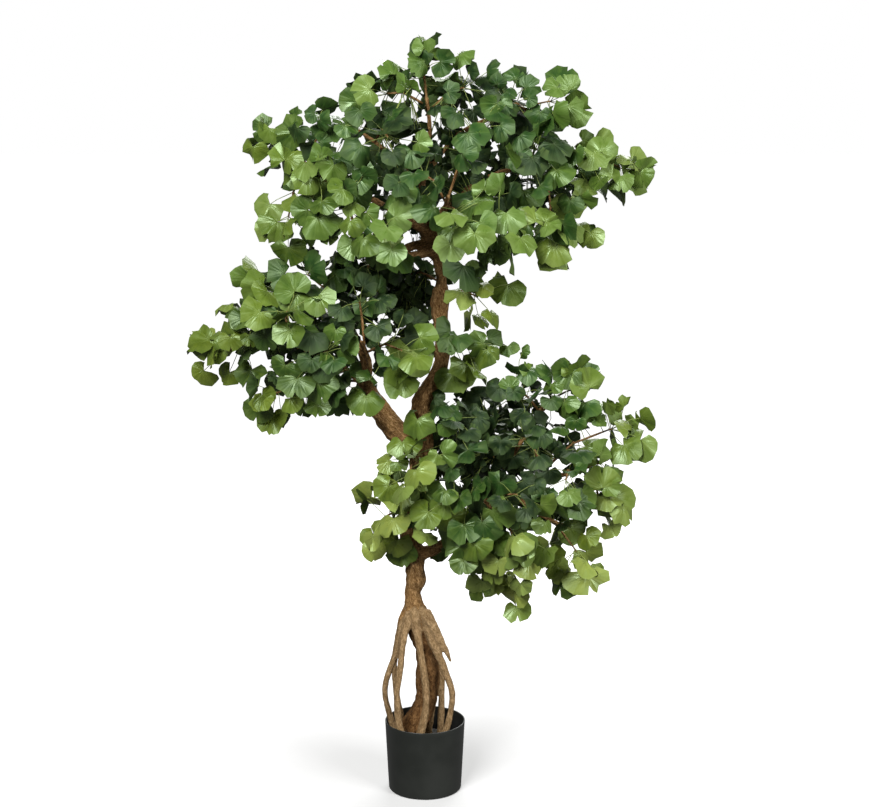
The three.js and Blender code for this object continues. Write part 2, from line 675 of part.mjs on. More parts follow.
const plans = Object.entries(SPRAYS).flatMap(([tierName, rows]) => rows.map(([tip, shade], i) => ({
  name: `spray_${tierName}_${String(i + 1).padStart(2, '0')}`,
  tier: TIERS[tierName],
  tip: point(...tip),
  shade,
  random: seededRandom(TIERS[tierName].seed + i),
})));
const sprays = springFrom(plans, roomOfWood(GAP));
const twigs = (extra) => sprays.map(({ from, tip }) => withBounds(growTwig(from, tip, extra).skin));
const slimTwigs = twigs(0);
const wideTwigs = twigs(LEAF.clearance);
const taken = [roomOfWood(LEAF.clearance)];
const middles = [];
sprays.forEach((spray, i) => {
  const otherTwigs = wideTwigs.filter((_, k) => k !== i);
  const { solid, rooms } = growSpray(spray, slimTwigs[i], [...otherTwigs, ...taken], middles);
  taken.push(...rooms);
  addPiece(spray.name, geometryOf(solid), MATERIALS[spray.shade]);
});

export default tree;
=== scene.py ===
# A ginkgo bonsai on stilt roots in its nursery pot. Metres, +Z up, and -Y is the front.
import json
import math

import bpy
import numpy as np
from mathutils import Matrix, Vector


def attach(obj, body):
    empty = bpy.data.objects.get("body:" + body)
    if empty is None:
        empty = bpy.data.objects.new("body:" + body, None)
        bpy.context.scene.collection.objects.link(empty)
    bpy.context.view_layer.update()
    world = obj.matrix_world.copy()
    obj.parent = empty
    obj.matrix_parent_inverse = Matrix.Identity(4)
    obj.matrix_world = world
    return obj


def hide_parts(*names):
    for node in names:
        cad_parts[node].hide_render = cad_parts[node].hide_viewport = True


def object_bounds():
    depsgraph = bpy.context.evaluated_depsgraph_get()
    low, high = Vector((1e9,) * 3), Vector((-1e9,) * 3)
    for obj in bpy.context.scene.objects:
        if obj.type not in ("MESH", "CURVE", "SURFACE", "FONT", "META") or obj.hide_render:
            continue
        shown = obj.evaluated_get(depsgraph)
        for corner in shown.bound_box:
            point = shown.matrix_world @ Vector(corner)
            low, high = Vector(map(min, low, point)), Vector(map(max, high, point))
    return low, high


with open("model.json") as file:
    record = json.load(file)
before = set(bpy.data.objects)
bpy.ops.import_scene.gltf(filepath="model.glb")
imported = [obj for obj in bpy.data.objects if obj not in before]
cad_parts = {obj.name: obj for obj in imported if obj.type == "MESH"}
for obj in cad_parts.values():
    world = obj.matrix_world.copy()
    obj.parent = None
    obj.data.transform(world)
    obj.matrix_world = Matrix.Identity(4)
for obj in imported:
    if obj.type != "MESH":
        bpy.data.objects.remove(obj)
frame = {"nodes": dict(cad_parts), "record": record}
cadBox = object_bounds()
mm = 0.001
print("frame loaded:", len(frame["nodes"]), "nodes")


# A new object in the scene.
def placed(name, data):
    made = bpy.data.objects.new(name, data)
    bpy.context.scene.collection.objects.link(made)
    return made


# The pitch is in degrees below level.
camera = {"place": (0.0191, -3.3, 1.37), "pitch": 10.03, "lens": 71.4, "farthest": 200}
cameraData = bpy.data.cameras.new("camera")
cameraData.lens = camera["lens"]
cameraData.clip_end = camera["farthest"]
cameraObject = placed("camera", cameraData)
cameraObject.location = camera["place"]
cameraObject.rotation_euler = (math.radians(90 - camera["pitch"]), 0, 0)
bpy.context.scene.camera = cameraObject

studio = {
    "roomLight": 0.17,  # how strongly the white room lights the tree
    "roomSeen": 1.0,  # how bright its walls look
    # name: [place, aimed at, width, watts]
    "lamps": {
        "key": [(-1.2, -2.9, 3.0), (0, 0, 0.9), 1.5, 218],
        "fill": [(2.6, -2.5, 2.2), (0, 0, 0.8), 1.6, 140],
        "back": [(0.6, 2.6, 2.6), (0, 0, 0.9), 2.0, 90],
    },
    "floorSize": 80,
    "floorColour": (0.42, 0.42, 0.42, 1),
    "nearGlow": (0.3, 0.3, 0.292),  # beside the glow far away, so that the pot's shadow shows
    "glowRange": (0.2, 0.9),
    "floorGlow": 0.93,  # so that the floor is as white as the walls where it meets them
}


def addLamp(name, place, aim, width, watts):
    data = bpy.data.lights.new(name, "AREA")
    data.size = width
    data.energy = watts
    lamp = placed(name, data)
    lamp.location = place
    x, y, z = np.array(aim) - np.array(place)
    lamp.rotation_euler = (math.atan2(math.hypot(x, y), -z), 0, math.atan2(y, x) - math.pi / 2)


for lampName, settings in studio["lamps"].items():
    addLamp(lampName, *settings)
world = bpy.data.worlds.new("studio")
world.use_nodes = True
room = world.node_tree.nodes["Background"]
room.inputs["Color"].default_value = (1, 1, 1, 1)
seen = world.node_tree.nodes.new("ShaderNodeLightPath")
strength = world.node_tree.nodes.new("ShaderNodeMapRange")
strength.inputs["To Min"].default_value = studio["roomLight"]
strength.inputs["To Max"].default_value = studio["roomSeen"]
world.node_tree.links.new(seen.outputs["Is Camera Ray"], strength.inputs["Value"])
world.node_tree.links.new(strength.outputs["Result"], room.inputs["Strength"])
bpy.context.scene.world = world
bpy.context.scene.view_settings.view_transform = "Standard"


# A socket that takes part in arithmetic: each operation adds the Math node that does it.
class Value:
    def __init__(self, shader, socket):
        self.shader = shader
        self.socket = socket

    def maths(self, operation, *others):
        values = {i: v for i, v in enumerate((self, *others))}
        return self.shader.node("Math", {"operation": operation}, values)

    def __add__(self, other):
        return self.maths("ADD", other)

    def __sub__(self, other):
        return self.maths("SUBTRACT", other)

    def __mul__(self, other):
        return self.maths("MULTIPLY", other)

    def __rsub__(self, other):
        return self.shader.node("Math", {"operation": "SUBTRACT"}, {0: other, 1: self})

    __radd__ = __add__
    __rmul__ = __mul__

    # Rises smoothly from first to last as the value goes from low to high.
    def clamped(self, low, high, first=0.0, last=1.0):
        values = {"Value": self, "From Min": low, "From Max": high, "To Min": first, "To Max": last}
        return self.shader.node("MapRange", {"interpolation_type": "SMOOTHSTEP"}, values)


# One material, with a Principled surface that its nodes feed.
class Shader:
    def __init__(self, name, **fixed):
        self.material = bpy.data.materials.new(name)
        self.material.use_nodes = True
        self.tree = self.material.node_tree
        self.surface = self.tree.nodes["Principled BSDF"]
        self.feed(**fixed)

    # Sets or links sockets of the surface.
    def feed(self, **values):
        for socket, value in values.items():
            self.put(self.surface.inputs[socket.replace("_", " ")], value)
        return self.material

    # Links a value to a socket, or sets a constant on it.
    def put(self, socket, value):
        if isinstance(value, Value):
            self.tree.links.new(value.socket, socket)
        else:
            socket.default_value = value

    # Adds a node: its settings first, then the values or links of its sockets.
    def node(self, kind, settings=None, values=None, output=0):
        made = self.tree.nodes.new("ShaderNode" + kind)
        for key, value in (settings or {}).items():
            if key == "stops":
                self.setStops(made.color_ramp, value)
            else:
                setattr(made, key, value)
        for key, value in (values or {}).items():
            self.put(made.inputs[key], value)
        return Value(self, made.outputs[output])

    def setStops(self, ramp, stops):
        while len(ramp.elements) < len(stops):
            ramp.elements.new(1)
        for element, (place, colour) in zip(ramp.elements, stops):
            element.position = place
            element.color = (*colour, 1)

    def attribute(self, name, output="Fac"):
        return self.node("Attribute", {"attribute_name": name}, output=output)

    # Where a point is on the object, in metres.
    def objectPlace(self):
        return self.node("TexCoord", output=3)

    # A vector with each of its parts scaled on its own.
    def stretched(self, place, scale):
        return self.node("VectorMath", {"operation": "MULTIPLY"}, {0: place, 1: scale})

    # A vector's three parts.
    def parts(self, vector):
        outputs = self.node("SeparateXYZ", {}, {0: vector}).socket.node.outputs
        return [Value(self, output) for output in outputs]

    def noise(self, place, scale, detail=3.0, roughness=0.55, distortion=0.0):
        values = {"Vector": place, "Scale": scale, "Detail": detail, "Roughness": roughness,
                  "Distortion": distortion}
        return self.node("TexNoise", {}, values)

    # A colour between two others.
    def mixed(self, share, first, second, blend="MIX"):
        colours = {key: (*value, 1) if isinstance(value, tuple) else value
                   for key, value in ((6, first), (7, second))}
        return self.node("Mix", {"data_type": "RGBA", "blend_type": blend}, {0: share, **colours}, 2)

    def bump(self, height, strength, distance):
        return self.node("Bump", {}, {"Height": height, "Strength": strength, "Distance": distance})

    def ramp(self, share, stops):
        return self.node("ValToRGB", {"stops": stops}, {"Fac": share})

def makeMesh(name, points, faces, smooth=True):
    mesh = bpy.data.meshes.new(name)
    mesh.from_pydata(points.tolist(), [], faces)
    mesh.polygons.foreach_set("use_smooth", np.full(len(mesh.polygons), smooth))
    mesh.update()
    return mesh


def addPiece(mesh, material, nodes):
    piece = placed(mesh.name, mesh)
    mesh.materials.append(material)
    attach(piece, "root")
    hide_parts(*nodes)


# One property of every item of a mesh's list, in rows of the given width.
def listed(items, key, width, kind=float):
    values = np.empty(len(items) * width, kind)
    items.foreach_get(key, values)
    return values.reshape(-1, width)


# Writes one number or one vector for each point of the mesh.
def keepAttribute(mesh, name, values):
    kind, key = ("FLOAT", "value") if values.ndim == 1 else ("FLOAT_VECTOR", "vector")
    made = mesh.attributes.new(name, kind, "POINT")
    made.data.foreach_set(key, values.astype(np.float32).ravel())


# A vector at length 1, and then each of many.
def unit(vector):
    return vector / np.linalg.norm(vector)


def units(vectors):
    return vectors / np.linalg.norm(vectors, axis=-1, keepdims=True)


# Quads of a grid whose point (i, j) is first + i * columns + j, closed round the columns or not.
def gridFaces(rows, columns, closed, first=0):
    i = np.arange(rows - 1)[:, None]
    j = np.arange(columns if closed else columns - 1)[None, :]
    k = (j + 1) % columns
    quads = np.stack([i * columns + j, i * columns + k, (i + 1) * columns + k, (i + 1) * columns + j], -1)
    return (quads.reshape(-1, 4) + first).tolist()


# Rings of points closed by a pole at each end. The two poles come after the last ring.
def closedRings(rows, sides, first=0):
    turn = np.arange(sides)
    start = first + rows * sides
    last = start - sides
    faces = gridFaces(rows, sides, True, first)
    faces += np.stack([np.full(sides, start), first + (turn + 1) % sides, first + turn], -1).tolist()
    faces += np.stack([np.full(sides, start + 1), last + turn, last + (turn + 1) % sides], -1).tolist()
    return faces


# Smooth noise from -1 to 1: random numbers on a lattice of the given cell, blended between its corners.
def softNoise(points, cell, seed):
    size = 24
    lattice = np.random.default_rng(seed).uniform(-1, 1, (size, size, size))
    place = points / cell
    low = np.floor(place).astype(int)
    t = place - low
    t = t * t * (3 - 2 * t)
    total = np.zeros(len(points))
    for corner in np.ndindex(2, 2, 2):
        share = np.prod(np.where(corner, t, 1 - t), axis=1)
        x, y, z = ((low + corner) % size).T
        total += share * lattice[x, y, z]
    return total


# A profile of (radius, height) turned round Z: point (i, j) = (r_i cos a_j, r_i sin a_j, h_i). It starts
# and ends on the axis, where a pole closes it.
def turnedSurface(name, profile, sides, ripple=None):
    radius, height = np.array(profile[1:-1]).T
    angle = np.linspace(0, 2 * math.pi, sides, endpoint=False)
    points = np.stack([radius[:, None] * np.cos(angle), radius[:, None] * np.sin(angle),
                       np.repeat(height[:, None], sides, 1)], -1).reshape(-1, 3)
    if ripple is not None:
        points = ripple(points)
    poles = np.array([[0, 0, profile[0][1]], [0, 0, profile[-1][1]]])
    return makeMesh(name, np.vstack([points, poles]), closedRings(len(radius), sides))


# A Catmull-Rom curve through stations, with steps points in each stretch: the four-point cubic blend.
def smoothPath(stations, steps):
    stations = np.array(stations, float)
    ends = np.vstack([2 * stations[0] - stations[1], stations, 2 * stations[-1] - stations[-2]])
    t = np.linspace(0, 1, steps, endpoint=False)[None, :, None]
    a, b, c, d = (ends[k:len(ends) - 3 + k, None] for k in range(4))
    bend, twist = 2 * a - 5 * b + 4 * c - d, 3 * b - a - 3 * c + d
    curve = 0.5 * (2 * b + (c - a) * t + bend * t ** 2 + twist * t ** 3)
    return np.vstack([curve.reshape(-1, stations.shape[1]), stations[-1:]])


# Two sides square to a path at each of its points, carried along it without spinning.
def framesAlong(path):
    along = units(np.gradient(path, axis=0))
    side = np.array([1.0, 0, 0]) if abs(along[0][0]) < 0.9 else np.array([0, 0, 1.0])
    sides = []
    for direction in along:
        side = side - direction * side.dot(direction)
        side /= np.linalg.norm(side)
        sides.append(side)
    sides = np.array(sides)
    return along, sides, np.cross(along, sides)


# Rings round a path: point (i, j) = path_i + r_i (side_i cos a_j + back_i sin a_j).
def ringsRound(path, radius, side, back, sides):
    angle = np.linspace(0, 2 * math.pi, sides, endpoint=False)[:, None]
    ring = np.cos(angle) * side[..., None, :] + np.sin(angle) * back[..., None, :]
    return path[..., None, :] + radius[..., None, None] * ring


# Closed tubes, each with a path, its radii and its number of sides, as points and as one list of faces.
def closedTubes(tubes):
    pieces, faces, count = [], [], 0
    for path, radius, sides in tubes:
        along, side, back = framesAlong(path)
        points = ringsRound(path, radius, side, back, sides).reshape(-1, 3)
        tips = [path[0] - along[0] * radius[0] / 2, path[-1] + along[-1] * radius[-1] / 2]
        pieces.append(np.vstack([points, tips]))
        faces += closedRings(len(path), sides, count)
        count += len(pieces[-1])
    return pieces, faces


wood = {
    "voxel": 0.0026,  # the mesh's pitch after the limbs are grown together
    "soften": (0.5, 4),  # how much and how often that mesh is smoothed
    "swellings": [(0.0022, 0.024, 5), (0.0017, 0.009, 6)],  # height, cell and seed of lumps and knobs
    "furrows": (0.0006, (0.006, 0.006, 0.022), 7),  # the same of the long furrows between its fibres
    "furrowTop": 0.35,  # where their noise is cut off
    "fullGirth": 0.02,  # thinner limbs have less relief, down to the least
    "leastRelief": 0.3,
    "knotHeight": 0.36,  # below it the stem between its roots gets painted shade
    "knotFade": 0.03,
    "twist": 9.0,  # radians that the grain winds round a limb in a metre
    "grainStep": 0.37,  # how much further along the grain of the next limb starts
}
# Each limb as stations of (x, y, z, radius) in millimetres.
stemLimbs = {
    "stem": [
        (-31, 8, 35, 26), (-31, 8, 108, 26), (-9, 6, 150, 24), (2, 4, 182, 23), (5, 2, 216, 23),
        (4, 0, 258, 22), (0, 0, 292, 20), (-11, 0, 325, 22), (-20, 0, 356, 27), (-22, 0, 382, 21),
        (-24, 0, 408, 17), (-18, 0, 436, 21), (-21, 0, 475, 20), (-27, 0, 515, 21), (-22, 4, 565, 21),
        (-12, 6, 615, 22), (-8, 4, 674, 24), (-8, 0, 706, 26), (-6, 0, 746, 24), (0, 2, 790, 24),
        (13, 4, 816, 21), (25, 4, 840, 18), (33, 2, 866, 16), (36, 0, 895, 16), (33, -2, 935, 15),
        (29, -2, 962, 16), (29, 0, 984, 19), (32, 0, 1003, 17), (32, 0, 1020, 11), (33, 0, 1042, 13),
        (33, 2, 1068, 20), (25, 4, 1090, 18), (9, 4, 1112, 16), (-6, 4, 1134, 10),
    ],
    "leftFork": [
        (-12, 0, 688, 22), (-47, -4, 723, 22), (-75, -8, 758, 22), (-96, -10, 790, 20),
        (-115, -12, 822, 16),
    ],
    "rightFork": [
        (-14, 0, 484, 15), (22, 0, 496, 12), (60, 0, 524, 10), (109, 4, 570, 9), (165, 6, 604, 7.5),
        (225, 6, 632, 6),
    ],
    "knot": [(-26, -8, 374, 16), (-42, -13, 352, 12), (-51, -16, 330, 6)],
    "stubOver": [(22, 0, 1100, 14), (8, -8, 1120, 11), (-8, -14, 1128, 9), (-24, -18, 1134, 4)],
    "stubUnder": [(24, -4, 1084, 14), (4, -16, 1082, 10), (-16, -26, 1078, 8), (-36, -34, 1080, 4)],
}
rootLimbs = {
    "left": [
        (-32, -10, 372, 12), (-46, -22, 340, 8), (-56, -30, 294, 7), (-79, -30, 222, 6.5),
        (-71, -26, 165, 6.5), (-57, -24, 108, 7), (-56, -24, 45, 7),
    ],
    "leftFront": [
        (-30, -16, 366, 12), (-41, -34, 326, 8), (-48, -44, 268, 7), (-55, -48, 210, 7), (-52, -46, 154, 8),
        (-43, -44, 108, 9), (-41, -44, 45, 9),
    ],
    "front": [
        (-22, -18, 372, 11), (-9, -32, 296, 8), (1, -42, 228, 8), (2, -46, 182, 8), (-6, -46, 140, 8.5),
        (-12, -46, 108, 9), (-12, -46, 45, 9),
    ],
    "rightFront": [
        (-6, -12, 372, 12), (19, -22, 302, 9), (36, -26, 262, 8), (54, -30, 208, 7), (49, -30, 158, 7),
        (37, -28, 108, 7.5), (36, -28, 45, 7.5),
    ],
    "right": [
        (8, -2, 330, 9), (27, 6, 286, 7), (34, 14, 228, 6.5), (33, 18, 172, 7), (31, 20, 108, 8),
        (31, 20, 45, 8),
    ],
    "backRight": [
        (-8, 14, 372, 11), (10, 34, 318, 8), (22, 48, 250, 7), (20, 54, 180, 7), (8, 52, 108, 8),
        (8, 52, 45, 8),
    ],
    "backLeft": [
        (-32, 14, 366, 11), (-50, 30, 318, 8), (-62, 42, 250, 7), (-58, 44, 180, 7), (-46, 42, 108, 8),
        (-46, 42, 45, 8),
    ],
    "thorn": [
        (-1, -12, 368, 14), (16, -16, 338, 12), (30, -18, 312, 9), (42, -20, 292, 6), (51, -20, 270, 2.5),
    ],
}
branchLimbs = {
    "crownLeft": [(2, 4, 1120, 11), (-70, -6, 1166, 8), (-150, -16, 1206, 6.5), (-235, -22, 1236, 5)],
    "crownStub": [
        (22, 0, 1092, 13), (-18, -8, 1094, 11), (-46, -22, 1086, 9), (-90, -60, 1096, 6),
        (-135, -95, 1120, 4.5),
    ],
    "crownTop": [(-2, 4, 1124, 10), (-4, 10, 1210, 8), (10, 10, 1300, 6.5), (4, 4, 1372, 5)],
    "crownRight": [
        (2, 2, 1118, 10), (62, -4, 1186, 8), (145, -8, 1232, 7), (240, -8, 1250, 6), (325, -4, 1256, 4.5),
    ],
    "crownUpperRight": [(0, 10, 1226, 6.5), (62, 12, 1300, 6), (130, 8, 1334, 5), (200, 2, 1346, 4)],
    "crownUpperLeft": [(-4, 8, 1196, 7), (-60, 0, 1262, 6), (-125, -8, 1312, 4.5)],
    "crownFront": [(14, -6, 1106, 10), (34, -90, 1158, 7), (44, -150, 1196, 5)],
    "crownBack": [(0, 12, 1122, 10), (-6, 90, 1184, 7), (-2, 165, 1222, 5)],
    "leftLow": [(-108, -12, 818, 10), (-168, -24, 868, 7.5), (-236, -30, 896, 6), (-318, -28, 908, 4.5)],
    "leftHigh": [(-104, -10, 816, 10), (-128, -12, 900, 7), (-168, -14, 968, 5.5), (-196, -14, 1010, 4.5)],
    "leftFront": [(-110, -20, 820, 8), (-104, -76, 878, 6), (-118, -120, 926, 4.5)],
    "leftBack": [(-108, -2, 820, 8), (-124, 62, 884, 6), (-148, 108, 930, 4.5)],
    "rightFar": [(215, 6, 628, 6.5), (290, 0, 650, 5.5), (360, -6, 678, 4.5)],
    "rightHigh": [(112, 4, 570, 8), (156, 18, 650, 6.5), (200, 20, 724, 5.5), (232, 16, 780, 4.5)],
    "rightFront": [(100, -2, 560, 8), (126, -70, 588, 6.5), (150, -126, 610, 5)],
    "rightBack": [(118, 10, 576, 8), (134, 76, 616, 6), (150, 128, 650, 4.5)],
    "rightLow": [(170, 0, 606, 6.5), (222, -30, 574, 5.5), (270, -42, 552, 4.5)],
}
# kind: [limbs, girth beside the stations, points a stretch, sides]
limbKinds = {
    "stem": [stemLimbs, 0.97, 8, 40],
    "root": [rootLimbs, 0.95, 8, 20],
    "branch": [branchLimbs, 0.85, 10, 16],
}


# Every limb as its kind, its smooth path, its radius along it and its sides, in metres.
def limbPaths():
    found = []
    for kind, (limbs, girth, steps, sides) in limbKinds.items():
        for stations in limbs.values():
            curve = smoothPath(stations, steps) * mm
            found.append((kind, curve[:, :3], curve[:, 3] * girth, sides))
    return found


# The union of all limbs at one pitch, smoothed, then moved along its normals by lumps + knobs + furrows,
# where the furrows are noise in the nearest limb's own space, drawn out along it.
def woodMesh():
    pieces, faces = closedTubes([limb[1:] for limb in limbPaths()])
    rough = placed("rough", makeMesh("rough", np.vstack(pieces), faces))
    remesh = rough.modifiers.new("grownTogether", "REMESH")
    remesh.mode = "VOXEL"
    remesh.voxel_size = wood["voxel"]
    soften = rough.modifiers.new("soften", "SMOOTH")
    soften.factor, soften.iterations = wood["soften"]
    mesh = bpy.data.meshes.new_from_object(rough.evaluated_get(bpy.context.evaluated_depsgraph_get()))
    bpy.data.objects.remove(rough)
    points, normals = listed(mesh.vertices, "co", 3), listed(mesh.vertex_normals, "vector", 3)
    grain, girth, root = grainOf(points)
    depth, cell, seed = wood["furrows"]
    furrows = depth * np.minimum(softNoise(grain / np.array(cell), 1, seed), wood["furrowTop"])
    swell = sum(height * softNoise(points, *noise) for height, *noise in wood["swellings"])
    thick = np.clip(girth / wood["fullGirth"], wood["leastRelief"], 1)
    points = points + normals * ((swell + furrows) * thick)[:, None]
    mesh.vertices.foreach_set("co", points.ravel())
    mesh.polygons.foreach_set("use_smooth", np.ones(len(mesh.polygons), bool))
    mesh.name = "wood"
    mesh.update()
    keepAttribute(mesh, "grain", grain)
    keepAttribute(mesh, "rootness", root)
    # The stem below the roots' height gets painted shade in the bark's colour.
    below = np.clip((wood["knotHeight"] - points[:, 2]) / wood["knotFade"], 0, 1)
    keepAttribute(mesh, "core", (1 - root) * below)
    return mesh


# For each point, where it lies in the nearest limb: (across, back, along) turned slowly along it, the
# limb's radius there, and 1 where that limb is a root.
def grainOf(points):
    found = []
    offset = 0.0
    for kind, path, radius, _ in limbPaths():
        _, side, back = framesAlong(path)
        run = np.concatenate([[0], np.cumsum(np.linalg.norm(np.diff(path, axis=0), axis=1))]) + offset
        isRoot = np.full(len(path), float(kind == "root"))
        found.append(np.column_stack([path, side, back, run, radius, isRoot]))
        offset += wood["grainStep"]
    found = np.vstack(found)
    centre, girth = found[:, :3], found[:, 10]
    nearest = np.empty(len(points), int)
    block = 8000  # points at a time, to save memory
    for k in range(0, len(points), block):
        part = points[k:k + block]
        squares = (part ** 2).sum(1)[:, None] - 2 * part @ centre.T + (centre ** 2).sum(1)[None]
        nearest[k:k + block] = (np.sqrt(np.maximum(squares, 0)) - girth[None]).argmin(1)
    near = found[nearest]
    side, back = near[:, 3:6], near[:, 6:9]
    away = points - near[:, :3]
    across, behind = (away * side).sum(1), (away * back).sum(1)
    along = near[:, 9] + (away * np.cross(side, back)).sum(1)
    turn = along * wood["twist"]
    turned = np.column_stack([across * np.cos(turn) - behind * np.sin(turn),
                              across * np.sin(turn) + behind * np.cos(turn), along])
    return turned, near[:, 10], near[:, 11]


barkLook = {
    # cells in a metre across, back and along the grain, then detail, roughness and distortion
    "fibre": [(440, 440, 190), 5.0, 0.7, 0.4],
    "strand": [(170, 170, 80), 4.0, 0.65, 0.8],
    "patch": [(46, 46, 24), 3.0],
    # colours from the clefts to the crests
    "stem": [(0.0, (0.065, 0.03, 0.01)), (0.45, (0.18, 0.099, 0.036)), (0.8, (0.32, 0.19, 0.079)),
             (1.0, (0.49, 0.31, 0.15))],
    "roots": [(0.0, (0.108, 0.066, 0.029)), (0.5, (0.212, 0.141, 0.07)), (1.0, (0.35, 0.248, 0.138))],
    "darker": (0.5, 0.4, 0.28),  # what the colour is multiplied by in patches
    "core": (0.42, 0.34, 0.28),  # and on the stem between the roots, as painted shade
    "relief": (0.9, 0.004),
}


# Bark is a mat of short fibres: fine and coarse noise stretched along the grain give its colour and relief.
# Patches are darker or tanner, and the roots are tanner throughout. Between the roots the stem is darker:
# painted shade.
def barkMaterial():
    shader = Shader("bark", Roughness=0.9, Specular_IOR_Level=0.12)
    grain = shader.attribute("grain", "Vector")
    root, core = shader.attribute("rootness"), shader.attribute("core")
    fibre, strand, patch = (shader.noise(shader.stretched(grain, cells), 1.0, *rest)
                            for cells, *rest in (barkLook[key] for key in ("fibre", "strand", "patch")))
    depth = (fibre * 0.5 + strand * 0.35 + patch * 0.15).clamped(0.36, 0.64)
    stem, roots = (shader.ramp(depth, barkLook[key]) for key in ("stem", "roots"))
    colour = shader.mixed(root * 0.8, stem, roots)
    colour = shader.mixed(patch.clamped(0.5, 0.68, 0.0, 0.4), colour, barkLook["darker"], "MULTIPLY")
    # painted shade on the stem between the roots
    colour = shader.mixed(core * 0.8, colour, barkLook["core"], "MULTIPLY")
    height = fibre * 0.4 + strand * 0.6
    return shader.feed(Base_Color=colour, Normal=shader.bump(height, *barkLook["relief"]))


bark = barkMaterial()
addPiece(woodMesh(), bark, ["trunk"])
print("wood grown")


pot = {
    "height": 0.142, "rim": 0.08, "foot": 0.073, "wall": 0.0024, "floor": 0.004, "footRound": 0.004,
    "lip": 0.0009, "sides": 96,
    "outside": (0.08, 0.94, 8),  # the shares of its height between which its rings lie, and how many
    "inside": (0.94, 0.02, 8),
    "corner": 0.002,  # how far in from the wall the floor's last ring lies
    "fade": 0.02,  # how far below the rim its inside is all painted shade
    "plastic": [(0.0125, 0.0142, 0.012), (0.019, 0.0208, 0.018)],  # the clouds' two colours
    "scuffed": (0.028, 0.031, 0.027),
    # painted shade: the colour of the inside below the rim
    "dark": (0.001, 0.0016, 0.0008),
}


# Points of a circular arc in the (radius, height) plane, from one angle to another in degrees.
def arc(centre, radius, start, end, steps):
    angle = np.radians(np.linspace(start, end, steps))
    return list(zip(centre[0] + radius * np.cos(angle), centre[1] + radius * np.sin(angle)))


# The profile of a tapered cup with a rounded foot and lip, turned round Z.
def potMesh():
    foot, rim, wall, height = pot["foot"], pot["rim"], pot["wall"], pot["height"]
    lip, bend, floor = pot["lip"], pot["footRound"], pot["floor"]
    up, down = np.linspace(*pot["outside"]), np.linspace(*pot["inside"])
    profile = [(0, 0), (foot / 2, 0)]
    profile += arc((foot - bend, bend), bend, -90, 0, 6)
    profile += [(foot + (rim - foot) * t, bend + (height - lip - bend) * t) for t in up]
    profile += arc((rim - lip, height - lip), lip, 0, 90, 4)
    profile += arc((rim - wall + lip, height - lip), lip, 90, 180, 4)
    profile += [(foot - wall + (rim - foot) * t, floor + (height - lip - floor) * t) for t in down]
    profile += [(foot - wall - pot["corner"], floor), (0, floor)]
    mesh = turnedSurface("pot", profile, pot["sides"])
    points = listed(mesh.vertices, "co", 3)
    middle = foot - wall / 2 + (rim - foot) * points[:, 2] / height
    within = (np.hypot(points[:, 0], points[:, 1]) < middle) & (points[:, 2] > floor / 2)
    # the inside fades into painted shade below the rim
    keepAttribute(mesh, "within", np.clip((height - points[:, 2]) / pot["fade"], 0, 1) * within)
    return mesh


# Charcoal moulded plastic: faint clouds, fine scuffs that run round it, and a fine grain. Its inside below
# the
# rim is painted shade: nearly black, and rougher.
def potMaterial():
    shader = Shader("potPlastic", Specular_IOR_Level=0.42)
    place = shader.objectPlace()
    cloud = shader.noise(place, 9.0, 3.0)
    scuff = shader.noise(shader.stretched(place, (30, 30, 220)), 1.0, 4.0, 0.65)
    grain = shader.noise(place, 900.0, 2.0)
    colour = shader.mixed(cloud.clamped(0.35, 0.65), *pot["plastic"])
    colour = shader.mixed(scuff.clamped(0.62, 0.8, 0.0, 0.4), colour, pot["scuffed"])
    within = shader.attribute("within")
    # painted shade inside the pot
    colour = shader.mixed(within, colour, pot["dark"])
    return shader.feed(Base_Color=colour, Roughness=cloud.clamped(0.3, 0.7, 0.36, 0.46) + within * 0.5,
                       Normal=shader.bump(grain * 0.4 + scuff * 0.6, 0.12, 0.0004))


addPiece(potMesh(), potMaterial(), ["pot"])

filling = {
    "top": 0.095, "radius": 0.0745, "bottomRadius": 0.0703, "bottom": 0.0043, "edge": 0.004, "sides": 96,
    "rings": (0.02, 1, 30),  # the first and the last, as shares of the radius, and how many
    "rough": 0.0022,
    "lumps": [(1, 0.011, 21), (0.6, 0.005, 22)],  # share, cell and seed of its noise
    "lower": 0.9,  # how far the noise is lowered, so that the solid's top is its highest
    "flat": 8,  # how narrow the level edge at the wall is
    "set": [(0.16, 0.155, 0.145), (0.33, 0.325, 0.31)],
    # painted shade in the small pits of its top
    "pitShade": (0.07, 0.065, 0.06),
}


# A disc whose top is raised by noise: h = top + rough * noise(x, y), on rings that end in the side wall.
def fillingMesh():
    bottom, top, radius = filling["bottom"], filling["top"], filling["radius"]
    profile = [(0, bottom), (filling["bottomRadius"], bottom), (radius, top - filling["edge"])]
    profile += [(radius * r, top) for r in np.linspace(*filling["rings"])[::-1]] + [(0, top)]

    def ripple(points):
        raised = points[:, 2] > top - 0.1 * mm
        noise = sum(share * softNoise(points, cell, seed) for share, cell, seed in filling["lumps"])
        edge = 1 - (np.linalg.norm(points[:, :2], axis=1) / radius) ** filling["flat"]
        points[:, 2] += np.where(raised, (noise - filling["lower"]) * filling["rough"] * edge, 0)
        return points

    return turnedSurface("filling", profile, filling["sides"], ripple)


# Set ballast in two greys, with dark specks of painted shade for its pits.
def fillingMaterial():
    shader = Shader("setBallast", Roughness=0.95)
    place = shader.objectPlace()
    coarse = shader.noise(place, 60.0, 4.0)
    fine = shader.noise(place, 420.0, 3.0, 0.7)
    colour = shader.mixed(coarse.clamped(0.3, 0.7), *filling["set"])
    colour = shader.mixed(fine.clamped(0.58, 0.7, 0.0, 0.7), colour, filling["pitShade"])
    return shader.feed(Base_Color=colour, Normal=shader.bump(fine * 0.6 + coarse, 0.8, 0.003))


addPiece(fillingMesh(), fillingMaterial(), ["filling"])
print("pot and filling made")


